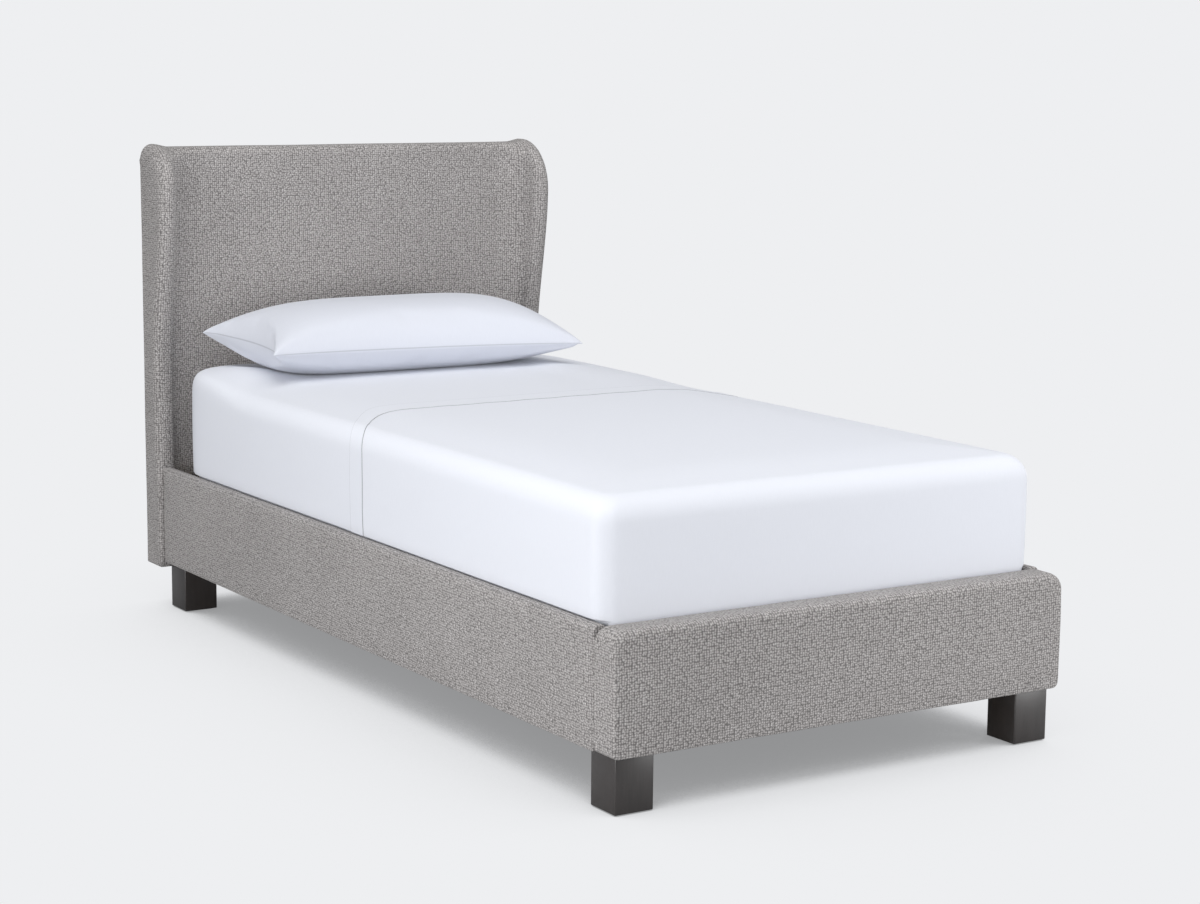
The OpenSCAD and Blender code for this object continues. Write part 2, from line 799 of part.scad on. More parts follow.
module centre_foot() {
    color(lining) translate([0, 0, foot_floor_gap]) {
        cylinder(h = foot_pad_h, r = foot_pad_r, $fn = 48);
        cylinder(h = foot_pad_h + foot_stem_h, r = foot_stem_r, $fn = 32);
    }
}

// Mattress: rounded block, tucked in between the rails, bulging over them and crowned on top
mattress_low = slat_top + seat + fitted_t;
mattress_half = rail_in - mattress_gap - fitted_t - flat_t;
mattress_foot_y = foot_back + mattress_foot_gap;
mattress_head_y = panel_front - mattress_head_gap;
mattress_top = mattress_low + mattress_h;

// Half the mattress's width at height z, between its rounded lower and upper edges
bulge_from = rail_top + seat;
bulge_round = 7;
function mattress_side(z) = mattress_half
    + (z <= bulge_from ? 0
        : z < bulge_from + bulge_round
            ? mattress_bulge - 2 - quarter(mattress_bulge - 2,
                (mattress_bulge - 2) * (1 - (z - bulge_from) / bulge_round))
        : mattress_bulge - 2 + 2 * sin(180 * (z - bulge_from) / (mattress_top - bulge_from)));

// Mattress outline at height z, drawn in by d from its upright sides and grown by g
function mattress_ring(z, d, g) =
    let (half = mattress_side(z) - d + g,
         foot = mattress_foot_y + d - g,
         head = mattress_head_y - d + g,
         rf = max(2, mattress_foot_r - d / 2 + g),
         rh = max(2, mattress_head_r - d / 2 + g),
         out = rounded_rect(-half, half, foot, head, [rf, rf, rh, rh], 4))
    [for (p = out) [p[0], p[1], z]];

module mattress_shape(g) {
    low_rings = [for (a = [0:30:90]) mattress_ring(mattress_low - g + (mattress_low_r + g) * (1 - cos(a)),
        mattress_low_r * (1 - sin(a)), g)];
    side_z = [bulge_from, bulge_from + 0.3 * bulge_round, bulge_from + 0.7 * bulge_round,
        bulge_from + bulge_round, bulge_from + 60, bulge_from + 115];
    side_rings = [for (z = side_z) mattress_ring(z, 0, g)];
    top_rings = [for (a = [0:18:90]) mattress_ring(mattress_top - mattress_top_r + (mattress_top_r + g) * sin(a),
        mattress_top_r * (1 - cos(a)), g)];
    crown_rings = [for (a = [22.5:22.5:90])
        mattress_ring(mattress_top + g + mattress_crown * sin(a), mattress_top_r + crown_w * a / 90, g)];
    top_middle = [0, (mattress_foot_y + mattress_head_y) / 2, mattress_top + g + mattress_crown];
    loft(concat(low_rings, side_rings, top_rings, crown_rings),
        [0, (mattress_foot_y + mattress_head_y) / 2, mattress_low - g], top_middle);
}

module mattress() {
    color(white_cloth) mattress_shape(0);
}

module fitted_sheet() {
    color(white_cloth) difference() {
        mattress_shape(fitted_t);
        mattress_shape(0);
        block([-mattress_half + fitted_return, mattress_foot_y + fitted_return, mattress_low - fitted_t - step],
            [mattress_half - fitted_return, mattress_head_y - fitted_return, mattress_low + step]);
    }
}

// Flat sheet: lies over the fitted sheet from the foot end, tucked in at the sides and the foot
flat_edge_y = mattress_foot_y + flat_reach;
module flat_sheet() {
    wide = mattress_half + mattress_bulge + 4 * flat_t + fitted_t;
    cut = rounded_rect(-wide, wide, mattress_foot_y - 10 * flat_t, flat_edge_y,
        [0, 0, flat_corner_r, flat_corner_r], 6);
    color(white_cloth) intersection() {
        difference() {
            mattress_shape(fitted_t + flat_t);
            mattress_shape(fitted_t);
        }
        translate([0, 0, slat_top + mattress_low_r + flat_tuck]) linear_extrude(mattress_h + 2 * mattress_crown)
            polygon(cut);
    }
}

// Pillow: crowned pad, thick in the middle, its sides drawn in between the four corners
pillow_low = mattress_top + mattress_crown + fitted_t + seat;
pillow_y = panel_front - pillow_head_gap - pillow_d / 2;

// Fullness of the pillow's upper (1) or lower (-1) half at u along and v across, both from -1 to 1
function pillow_full(u, v, up) = pow(1 - pow(abs(u), 3.9), up > 0 ? 0.52 : 0.46)
    * pow(1 - pow(abs(v), 2.1), up > 0 ? 0.5 : 0.8);

// Point of the pillow's skin, on the upper (1) or lower (-1) half, drawn in by t
function pillow_point(u, v, up, t) =
    let (x = u * (pillow_len / 2 - t - pillow_draw_x * (1 - v * v) * u * u),
         y = v * (pillow_d / 2 - t - pillow_draw_y * (1 - u * u) * v * v),
         full = pillow_full(u, v, up),
         seam = pillow_low + pillow_seam + pillow_tilt * v / 2 * (1 - pillow_full(u, v, 1)),
         edge = pillow_edge_t / 2 - t,
         high = up > 0 ? pillow_h - pillow_seam : pillow_seam)
    [x, pillow_y + y, up > 0 ? seam + max(edge, high * full - t)
        : max(pillow_low + t, seam - max(edge, high * 1.06 * full - t))];

pillow_u = [for (a = [0:12:180]) -cos(a)];
pillow_v = [for (a = [0:18:180]) -cos(a)];
module pillow_shape(t) {
    n = len(pillow_v) - 1;
    loft([for (u = pillow_u) concat(
        [for (k = [0:n]) pillow_point(u, pillow_v[k], -1, t)],
        [for (k = [n:-1:0]) pillow_point(u, pillow_v[k], 1, t)])]);
}

module pillow() {
    color(white_cloth) pillow_shape(case_t);
}

module pillowcase() {
    color(white_cloth) difference() {
        pillow_shape(0);
        pillow_shape(case_t);
    }
}

headboard_post(-1);  // headboard_left_post
headboard_post(1);  // headboard_right_post
headboard_top_rail();
headboard_base_rail();
headboard_plywood();
headboard_foam();
headboard_front_cover();
headboard_back_cloth();
wing_board(-1);  // left_wing_board
wing_board(1);  // right_wing_board
wing_foam(-1);  // left_wing_foam
wing_foam(1);  // right_wing_foam
wing_cover(-1);  // left_wing_cover
wing_cover(1);  // right_wing_cover
rail_board(-1);  // left_rail_board
rail_board(1);  // right_rail_board
rail_foam(-1);  // left_rail_foam
rail_foam(1);  // right_rail_foam
rail_cover(-1);  // left_rail_cover
rail_cover(1);  // right_rail_cover
slat_ledger(-1);  // left_slat_ledger
slat_ledger(1);  // right_slat_ledger
footboard_front_board();
footboard_back_board();
footboard_top_board();
footboard_bottom_board();
footboard_end_blocks();
footboard_foam();
footboard_cover();
rail_brackets();
bracket_bolts();
leg_blocks();
leg(0);  // front_left_leg
leg(1);  // front_right_leg
leg(2);  // back_left_leg
leg(3);  // back_right_leg
leg_plates();
leg_bolts();
leg_glides();
slat(1);  // slat_01
slat(2);  // slat_02
slat(3);  // slat_03
slat(4);  // slat_04
slat(5);  // slat_05
slat(6);  // slat_06
slat(7);  // slat_07
slat(8);  // slat_08
slat(9);  // slat_09
slat(10);  // slat_10
slat(11);  // slat_11
slat_screws();
centre_beam();
beam_hangers();
centre_leg();
centre_foot();
mattress();
fitted_sheet();
flat_sheet();
pillow();
pillowcase();
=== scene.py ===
"""Looks of an upholstered single bed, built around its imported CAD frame."""

import math

import bpy
import numpy as np
from bpy.props import FloatProperty, FloatVectorProperty, PointerProperty
from mathutils import Matrix, Vector, noise


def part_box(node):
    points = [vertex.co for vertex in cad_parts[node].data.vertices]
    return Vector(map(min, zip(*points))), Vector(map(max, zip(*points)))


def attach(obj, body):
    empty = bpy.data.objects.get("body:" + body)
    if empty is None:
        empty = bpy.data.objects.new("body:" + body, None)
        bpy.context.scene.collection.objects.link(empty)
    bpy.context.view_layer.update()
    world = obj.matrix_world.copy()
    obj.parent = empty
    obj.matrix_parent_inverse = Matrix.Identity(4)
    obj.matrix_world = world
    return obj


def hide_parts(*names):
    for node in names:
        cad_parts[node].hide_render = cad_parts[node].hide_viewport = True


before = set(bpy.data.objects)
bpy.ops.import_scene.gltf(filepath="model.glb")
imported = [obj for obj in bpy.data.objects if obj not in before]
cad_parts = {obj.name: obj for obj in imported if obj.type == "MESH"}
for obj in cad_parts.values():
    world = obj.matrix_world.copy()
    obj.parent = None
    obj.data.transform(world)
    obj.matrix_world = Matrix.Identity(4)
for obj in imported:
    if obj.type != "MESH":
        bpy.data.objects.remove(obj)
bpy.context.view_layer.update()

bl_info = {
    "name": "Upholstered Bed",
    "version": (1, 0, 0),
    "blender": (4, 5, 0),
    "location": "View3D > Sidebar > Bed",
    "description": "Upholstery, bedding, legs and studio stage around a packed bed frame",
    "category": "Add Mesh",
}

# Planes of the frame, from the CAD nodes
RAIL_LOW, RAIL_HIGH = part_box("right_rail_cover")
RAIL_BOARD_LOW, RAIL_BOARD_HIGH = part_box("right_rail_board")
FOOT_LOW, FOOT_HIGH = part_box("footboard_cover")
FOOT_BOX_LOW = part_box("footboard_bottom_board")[0]
FOOT_BOX_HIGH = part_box("footboard_top_board")[1]
PANEL_LOW, PANEL_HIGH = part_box("headboard_front_cover")
WING_LOW, WING_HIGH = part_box("right_wing_cover")
POST_LOW, POST_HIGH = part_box("headboard_right_post")
PLY_LOW, PLY_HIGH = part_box("headboard_plywood")
LINING_LOW, LINING_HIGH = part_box("headboard_back_cloth")
SLAT_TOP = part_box("slat_01")[1].z
MATTRESS_LOW, MATTRESS_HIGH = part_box("mattress")
PILLOW_LOW, PILLOW_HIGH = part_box("pillowcase")
BACK_Y = WING_HIGH.y
RAIL_TOP = RAIL_HIGH.z
BULGE_START = RAIL_TOP + 0.0003    # height from which the mattress bulges over the rails
CUT = 0.001    # how far a cutting block runs past what it cuts
MERGE_DISTANCE = 0.00002    # vertices closer than this become one
TINY = 1e-9    # keeps a division from ending in zero
SEED_STEP = 1.7    # keeps the noise's three axes apart for each seed
NOISE_RANGE = 0.3, 0.7    # values between which a noise texture mostly lies


def length(name, description, default, low=0.0):
    """Size property in metres."""
    return FloatProperty(name=name, description=description, default=default, min=low,
                         subtype="DISTANCE", unit="LENGTH")


def power(name, description, default):
    """Lamp power property in watts."""
    return FloatProperty(name=name, description=description, default=default, unit="POWER")


def number(name, description, default):
    """Plain share or strength property."""
    return FloatProperty(name=name, description=description, default=default)


def colour(name, description, default):
    """Colour property, in linear values."""
    return FloatVectorProperty(name=name, description=description, default=default, min=0, max=1,
                               size=3, subtype="COLOR")


class HeadboardSizes(bpy.types.PropertyGroup):
    wing_base_depth: length("Wing Depth at the Rails", "Depth of the wings at the rails", 0.084)
    wing_waist_depth: length("Wing Waist Depth", "Depth of the wings where they are slimmest", 0.078)
    wing_top_depth: length("Wing Top Depth", "Depth of the wings under the rounded corner",
                           BACK_Y - WING_LOW.y)
    waist_height: length("Waist Height", "Height where the wings are slimmest", 0.560)
    wing_rise: length("Wing Rise", "Rise of the wings' top above the straight top edge", 0.007)
    corner_radius: length("Wing Corner Radius", "Radius of the wings' front top corner", 0.102)
    nose_radius: length("Nose Radius", "Radius of the padded roll along the wings' front", 0.022)
    low_nose_radius: length("Lower Nose Radius", "Radius of the wings' front edge beside the rails", 0.009)
    hollow_width: length("Hollow Width", "Width of the hollow between a wing and the middle", 0.076)
    top_edge_radius: length("Top Edge Radius", "Radius of the middle's top front edge", 0.018)
    wing_top_width: length("Wing Top Width", "Width over which the wings' top rounds off", 0.029)
    wing_top_drop: length("Wing Top Drop", "Drop of the wings' top towards the outer side", 0.038)
    back_radius: length("Back Radius", "Radius of the upper back edge", 0.010)
    low_radius: length("Lower Radius", "Radius of the wings' lower outer edge", 0.008)
    swell: length("Swell", "Unevenness of the padding over broad patches", 0.0012)


class FrameSizes(bpy.types.PropertyGroup):
    rail_radius: length("Rail Radius", "Radius of the rails' soft upper edges", 0.012)
    rail_low_radius: length("Rail Lower Radius", "Radius of the rails' lower outer edge", 0.006)
    rail_end_radius: length("Rail End Radius", "Radius where the cover tucks in at the rails' ends", 0.003)
    rail_swell: length("Rail Swell", "How far the padding swells the rails' outer face", 0.0015)
    corner_radius: length("Footboard Corner Radius", "Radius of the footboard's upper corners", 0.028)
    low_radius: length("Footboard Lower Radius", "Radius of the footboard's lower corners", 0.013)
    roll_width: length("Roll Width", "Width of the rolled edges on the footboard's top", 0.018)
    roll_drop: length("Roll Drop", "Drop of the footboard's top over its rolled edges", 0.011)
    side_radius: length("Side Radius", "Radius of the footboard's upright edges", 0.007)
    leg_radius: length("Leg Edge Radius", "Radius of the legs' eased edges", 0.0022)


class BeddingSizes(bpy.types.PropertyGroup):
    bulge: length("Bulge", "How far the mattress bulges over the rails", 0.015)
    bulge_height: length("Bulge Height", "Height over which the bulge starts above the rails", 0.004)
    crown: length("Crown", "Rise of the mattress's middle above its top edge", 0.013)
    crown_width: length("Crown Width", "Width over which the mattress's top rises", 0.150)
    top_radius: length("Top Radius", "Radius of the mattress's rounded top edge", 0.046)
    low_radius: length("Lower Radius", "Radius of the mattress's lower edge", 0.022)
    foot_radius: length("Foot Corner Radius", "Radius of the upright corners at the foot", 0.036)
    head_radius: length("Head Corner Radius", "Radius of the upright corners at the head", 0.152)
    fitted_return: length("Fitted Return", "Width of the fitted sheet's edge under the mattress", 0.090)
    fitted_gap: length("Fitted Sheet Gap", "Distance of the fitted sheet's face from the mattress", 0.0015)
    flat_gap: length("Flat Sheet Gap", "Distance of the flat sheet's face from the mattress", 0.0027)
    cloth: length("Cloth Thickness", "Thickness of the sheets", 0.0008)
    edge_y: length("Sheet Edge", "Place of the flat sheet's edge along the bed, on top", 0.152, -1.0)
    hem: length("Hem", "Width of the flat sheet's hem on top of the bed", 0.072)
    side_hem: length("Side Hem", "Width of the flat sheet's hem on the bed's sides", 0.055)
    edge_drop: length("Edge Drop", "How far the sheet's edge draws back towards the foot at the sides",
                      0.150)
    hem_lift: length("Hem Lift", "Extra thickness of the folded hem", 0.0007)
    head_rise: length("Head Rise", "How far the mattress plumps up round the pillow at the left head end",
                      0.020)
    right_rise: length("Right Rise", "How far the mattress plumps up along its upper right side", 0.0065)


class PillowSizes(bpy.types.PropertyGroup):
    seam_height: length("Seam Height", "Height of the pillow's seam above its underside", 0.064)
    tilt: length("Tilt", "How much higher the back seam lies than the front seam", 0.014)
    lean: length("Lean", "How much higher the seam lies at the left end than at the right end", 0.017)
    side_draw: length("Long Side Draw", "How far the long sides are drawn in between the corners", 0.029)
    end_draw: length("End Draw", "How far the ends are drawn in between the corners", 0.033)
    shift: length("Shift", "How far the pillow lies left of the bed's middle", 0.005)
    lip: length("Seam Lip", "How far the sewn seam stands out", 0.0022)
    slack: number("Slack", "Share by which the case is larger than the pillow", 0.03)
    reach: length("Reach", "How far the cloth may move from the drawn form as it settles", 0.006)
    case_gap: length("Case Gap", "Distance between the pillow and its case", 0.0012)
    # painted shade along the case's seams
    painted_seam_shade: number("Seam Shade", "Brightness of the seam against the case", 0.70)


class FinishColours(bpy.types.PropertyGroup):
    tweed_dark: colour("Tweed Dark", "Darkest yarn of the cover", (0.325, 0.308, 0.301))
    tweed_mid: colour("Tweed Middle", "Main yarn of the cover", (0.400, 0.380, 0.373))
    tweed_light: colour("Tweed Light", "Lightest yarn of the cover", (0.480, 0.460, 0.453))
    linen: colour("Linen", "Sheets", (0.80, 0.82, 0.88))
    # the sheets' percale darkened by about an eighth: painted shade against the stronger light on the
    # pillow
    pillowcase: colour("Pillowcase", "Pillowcase", (0.70, 0.72, 0.785))
    ticking: colour("Ticking", "Mattress and pillow ticking", (0.80, 0.79, 0.76))
    stain: colour("Stain", "Stain of the legs", (0.025, 0.0205, 0.019))
    backdrop: colour("Backdrop", "Floor and background", (0.855, 0.863, 0.880))


class StageSizes(bpy.types.PropertyGroup):
    side_power: power("Side Light", "Power of the light on the left", 62)
    near_power: power("Near Light", "Power of the light low at the left foot corner", 64)
    foot_power: power("Foot Light", "Power of the light low at the foot end, on the right", 56)
    top_power: power("Top Light", "Power of the light above", 118)
    fill: number("Fill", "Strength of the even light from all round", 0.3)
    shadow_reach: length("Shadow Reach", "How far the bed's soft shadow spreads over the floor", 0.9)
    lens: FloatProperty(name="Lens", description="Focal length of the camera", default=77.36,
                        unit="CAMERA")


def ease(t):
    """Turns smoothly from 0 to 1 as t goes from 0 to 1."""
    return (1 - np.cos(np.pi * np.clip(t, 0, 1))) / 2


def rise(values, start, width):
    """Rises smoothly from 0 at start to 1 over the width."""
    return ease((values - start) / width)


def arch(values, low, high):
    """Rises from 0 at low to 1 half way, and falls back to 0 at high."""
    return np.clip(1 - (2 * (values - low) / (high - low) - 1) ** 2, 0, 1)


def bell(values, middle, width):
    """Soft bump of height 1 around the middle."""
    return np.exp(-((values - middle) / width) ** 2)


def quarter(radius, distance):
    """Drop of a quarter circle of that radius, at a distance past its start."""
    share = np.clip(np.asarray(distance) / np.maximum(radius, TINY), 0, 1)
    return radius * (1 - np.sqrt(1 - share**2))


def between(a, b, steps):
    """Points evenly spaced between a and b, without the two."""
    return a + (b - a) * np.linspace(0, 1, steps + 2)[1:-1, None]


def join_arcs(arcs, across_steps, along_steps):
    """Closed outline of four corner arcs in order, with evenly spaced points between them."""
    ring = []
    for i, arc in enumerate(arcs):
        steps = across_steps if i % 2 == 0 else along_steps
        ring += [arc, between(arc[-1], arcs[(i + 1) % 4][0], steps)]
    return np.concatenate(ring)


# Modelling tools

def select_only(*pieces):
    """Deselects everything, then selects these pieces, the first one active."""
    bpy.ops.object.select_all(action="DESELECT")
    for piece in pieces:
        piece.select_set(True)
    bpy.context.view_layer.objects.active = pieces[0]


def add_block(name, low, high):
    """Block between two corners, with its place in its mesh."""
    low, high = Vector(low), Vector(high)
    bpy.ops.object.select_all(action="DESELECT")
    bpy.ops.mesh.primitive_cube_add(size=1, location=(low + high) / 2, scale=high - low)
    piece = bpy.context.object
    piece.name = piece.data.name = name
    bpy.ops.object.transform_apply(location=True, rotation=True, scale=True)
    return piece


def add_grid(name, points):
    """Grid whose vertices are laid on points, an array of rows by columns by xyz."""
    rows, columns = points.shape[:2]
    bpy.ops.object.select_all(action="DESELECT")
    bpy.ops.mesh.primitive_grid_add(x_subdivisions=columns - 1, y_subdivisions=rows - 1, size=1)
    piece = bpy.context.object
    piece.name = piece.data.name = name
    piece.data.vertices.foreach_set("co", points.astype(np.float32).ravel())
    piece.data.update()
    return piece


def edit_all(piece, *actions):
    """Runs the actions in edit mode on the whole piece."""
    select_only(piece)
    bpy.ops.object.mode_set(mode="EDIT")
    bpy.ops.mesh.select_all(action="SELECT")
    for action in actions:
        action()
    bpy.ops.object.mode_set(mode="OBJECT")


def merge_doubles():
    """Merges the vertices that meet."""
    bpy.ops.mesh.remove_doubles(threshold=MERGE_DISTANCE)


def turn_outwards():
    """Turns all faces outwards."""
    bpy.ops.mesh.normals_make_consistent(inside=False)


def edit_where(piece, test, action, faces=False):
    """Selects the edges, or the faces, that pass the test, and runs the action on them in edit mode."""
    select_only(piece)
    bpy.context.tool_settings.mesh_select_mode = (False, not faces, faces)
    mesh = piece.data
    for parts in (mesh.vertices, mesh.edges, mesh.polygons):
        parts.foreach_set("select", [False] * len(parts))
    for part in mesh.polygons if faces else mesh.edges:
        part.select = bool(test(part))
    bpy.ops.object.mode_set(mode="EDIT")
    action()
    bpy.ops.object.mode_set(mode="OBJECT")


def edit_edges(piece, test, action):
    """Runs the action on the edges whose two ends pass the test."""
    ends = piece.data.vertices
    edit_where(piece, lambda edge: test(*(ends[i].co for i in edge.vertices)), action)


def bevel_edges(piece, test, radius, segments):
    """Rounds the edges whose two ends pass the test."""
    edit_edges(piece, test, lambda: bpy.ops.mesh.bevel(offset=radius, segments=segments, affect="EDGES"))


def divide_edges(piece, test, cuts):
    """Cuts the edges whose two ends pass the test into even parts."""
    edit_edges(piece, test, lambda: bpy.ops.mesh.subdivide(number_cuts=cuts))


def near(a, b, within=0.0001):
    """Whether two places along one axis are the same."""
    return abs(a - b) < within


def read_values(parts, name, width=1, kind=np.float32):
    """One value of each vertex, face or corner, as an array of rows of that width."""
    values = np.empty(len(parts) * width, kind)
    parts.foreach_get(name, values)
    return values.reshape(-1, width) if width > 1 else values


def coordinates(piece):
    """The places of the mesh's vertices."""
    return read_values(piece.data.vertices, "co", 3).astype(float)


def normals(piece):
    """The directions that the mesh's vertices face."""
    return read_values(piece.data.vertices, "normal", 3).astype(float)


def set_coordinates(piece, points):
    """Moves the mesh's vertices to points."""
    piece.data.vertices.foreach_set("co", np.asarray(points, np.float32).ravel())
    piece.data.update()


def unevenness(points, *layers):
    """Sum of soft noises at each point, each with its patch size, its seed and its height."""
    total = 0
    for size, seed, height in layers:
        offset = Vector((seed, seed * SEED_STEP, -seed))
        total = total + np.array([noise.noise(Vector(p) / size + offset) for p in points]) * height
    return total


def push_out(piece, points, facing, distance):
    """Moves the points of the piece's skin outwards by that distance."""
    set_coordinates(piece, points + facing * distance[:, None])


def swell(piece, size, seed, height):
    """Moves the skin in and out along its normals over soft patches."""
    points = coordinates(piece)
    push_out(piece, points, normals(piece), unevenness(points, (size, seed, height)))


def apply_modifier(piece, kind, **settings):
    """Adds a modifier with these settings to the piece and applies it."""
    select_only(piece)
    modifier = piece.modifiers.new(kind.title(), kind)
    for key, value in settings.items():
        setattr(modifier, key, value)
    bpy.ops.object.modifier_apply(modifier=modifier.name)


def carve_block(piece, low, high, material):
    """Cuts a block out of the piece. The cut faces take the material."""
    cutter = add_block("cutter", low, high)
    dress(cutter, material)
    apply_modifier(piece, "BOOLEAN", operation="DIFFERENCE", solver="EXACT", material_mode="TRANSFER",
                   object=cutter)
    bpy.data.objects.remove(cutter)


def thicken(piece, thickness):
    """Gives a sheet its thickness, inwards from its face."""
    apply_modifier(piece, "SOLIDIFY", thickness=thickness, offset=-1.0, use_even_offset=False)


def smooth(piece, degrees=40):
    """Shades the piece smoothly, apart from edges sharper than the angle."""
    select_only(piece)
    bpy.ops.object.shade_smooth_by_angle(angle=math.radians(degrees))


def corner_vertices(mesh):
    """The vertex at each corner of each face."""
    return read_values(mesh.loops, "vertex_index", kind=np.int32)


def lay_map(mesh, name, across, along):
    """UV map that holds a pair of values for each corner of each face."""
    layer = mesh.uv_layers.new(name=name)
    layer.data.foreach_set("uv", np.stack([across, along], 1).astype(np.float32).ravel())


def lay_weave(piece):
    """UV map in metres, laid flat on each face from the side that it looks to most."""
    mesh = piece.data
    plain = mesh.uv_layers.get("UVMap")
    if plain:
        mesh.uv_layers.remove(plain)
    face_normals = read_values(mesh.polygons, "normal", 3)
    counts = read_values(mesh.polygons, "loop_total", kind=np.int32)
    facing = np.repeat(np.abs(face_normals).argmax(axis=1), counts)
    at = coordinates(piece)[corner_vertices(mesh)]
    across = np.where(facing == 0, at[:, 1], at[:, 0])
    along = np.where(facing == 2, at[:, 1], at[:, 2])
    lay_map(mesh, "weave", across, along)


def dress(piece, material):
    """Adds the material to the piece."""
    piece.data.materials.append(material)


def link_copy(piece, name):
    """Copy of the piece with its own mesh."""
    made = piece.copy()
    made.data = piece.data.copy()
    made.name = made.data.name = name
    bpy.context.scene.collection.objects.link(made)
    return made


def finish_piece(piece, body, nodes):
    """Attaches the piece to its body and hides the CAD nodes that it takes the place of."""
    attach(piece, body)
    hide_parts(*nodes)


# Materials

class Shader:
    """A new material's nodes, added one at a time and linked by socket name."""

    def __init__(self, name):
        self.material = bpy.data.materials.new(name)
        self.material.use_nodes = True
        self.tree = self.material.node_tree
        self.surface = self.tree.nodes["Principled BSDF"]

    def add(self, kind, inputs=None, **settings):
        """New node with these inputs and settings."""
        made = self.tree.nodes.new("ShaderNode" + kind)
        for key, value in settings.items():
            setattr(made, key, value)
        for key, value in (inputs or {}).items():
            self.put(made.inputs[key], value)
        return made

    def put(self, socket, value):
        """Links another node's output to the socket, or sets the socket's own value."""
        if isinstance(value, bpy.types.NodeSocket):
            self.tree.links.new(value, socket)
        elif socket.type == "RGBA":
            socket.default_value = (*value, 1.0)
        else:
            socket.default_value = value

    def place(self):
        """Object coordinates, in metres."""
        return self.add("TexCoord").outputs["Object"]

    def weave(self, name="weave"):
        """The piece's own UV map, in metres."""
        return self.add("UVMap", uv_map=name).outputs["UV"]

    def scaled(self, vector, x, y, z=1.0):
        """The vector with each axis times its factor."""
        return self.add("Mapping", {"Vector": vector, "Scale": (x, y, z)}).outputs["Vector"]

    def noise(self, vector, scale, detail=2.0, roughness=0.5, distortion=0.0):
        """Soft noise with that many patches to a metre."""
        made = self.add("TexNoise", {"Vector": vector, "Scale": scale, "Detail": detail,
                                     "Roughness": roughness, "Distortion": distortion})
        return made.outputs["Fac"]

    def flat_cells(self, vector, randomness, feature="F1"):
        """Cells on a cloth's own map, one to a unit."""
        made = self.add("TexVoronoi", {"Vector": vector, "Scale": 1.0, "Randomness": randomness},
                        voronoi_dimensions="2D", feature=feature)
        return made.outputs

    def maths(self, operation, a, b=0.5):
        """Result of one sum."""
        return self.add("Math", {0: a, 1: b}, operation=operation).outputs["Value"]

    def times(self, a, b):
        """Product of two values."""
        return self.maths("MULTIPLY", a, b)

    def weighted(self, *parts):
        """Sum of values, each times its weight."""
        total = None
        for value, weight in parts:
            part = self.times(value, weight)
            total = part if total is None else self.maths("ADD", total, part)
        return total

    def spread(self, value, from_low, from_high, to_low=0.0, to_high=1.0):
        """Turns the range of a value into another range, and keeps it there."""
        made = self.add("MapRange", {"Value": value, "From Min": from_low, "From Max": from_high,
                                     "To Min": to_low, "To Max": to_high})
        return made.outputs["Result"]

    def vary(self, noise_value, low, high):
        """Turns a noise into values from low to high."""
        return self.spread(noise_value, *NOISE_RANGE, low, high)

    def ramp(self, value, *stops):
        """Colour from stops, each a place from 0 to 1 and its colour."""
        made = self.add("ValToRGB", {"Fac": value})
        elements = made.color_ramp.elements
        while len(elements) < len(stops):
            elements.new(0.5)
        for element, (place, shade) in zip(elements, stops):
            element.position = place
            element.color = (*shade, 1.0)
        return made.outputs["Color"]

    def shaded(self, colour, shade):
        """Colour multiplied by a grey."""
        grey = self.add("CombineColor", {"Red": shade, "Green": shade, "Blue": shade}).outputs["Color"]
        return self.multiplied(colour, grey)

    def multiplied(self, a, b):
        """Product of two colours."""
        made = self.add("Mix", data_type="RGBA", blend_type="MULTIPLY")
        self.put(made.inputs["Factor"], 1.0)
        self.put(made.inputs["A"], a)
        self.put(made.inputs["B"], b)
        return made.outputs["Result"]

    def bump(self, height, distance, strength=1.0, normal=None):
        """Normal of a surface that rises by the distance where the height is 1."""
        made = self.add("Bump", {"Height": height, "Distance": distance, "Strength": strength})
        if normal is not None:
            self.put(made.inputs["Normal"], normal)
        return made.outputs["Normal"]

    def darken(self, shade):
        """Multiplies the finished surface's colour by a grey."""
        colour = self.surface.inputs["Base Color"]
        self.put(colour, self.shaded(colour.links[0].from_socket, shade))

    def finish(self, colour, normal=None, roughness=0.8, **fixed):
        """Sets the surface. The fixed values go on its own sockets."""
        self.put(self.surface.inputs["Base Color"], colour)
        self.put(self.surface.inputs["Roughness"], roughness)
        if normal is not None:
            self.put(self.surface.inputs["Normal"], normal)
        for key, value in fixed.items():
            self.put(self.surface.inputs[key.replace("_", " ")], value)
        return self.material


def tinted(shade, share):
    """A colour made darker or lighter by that share."""
    return tuple(share * c for c in shade)


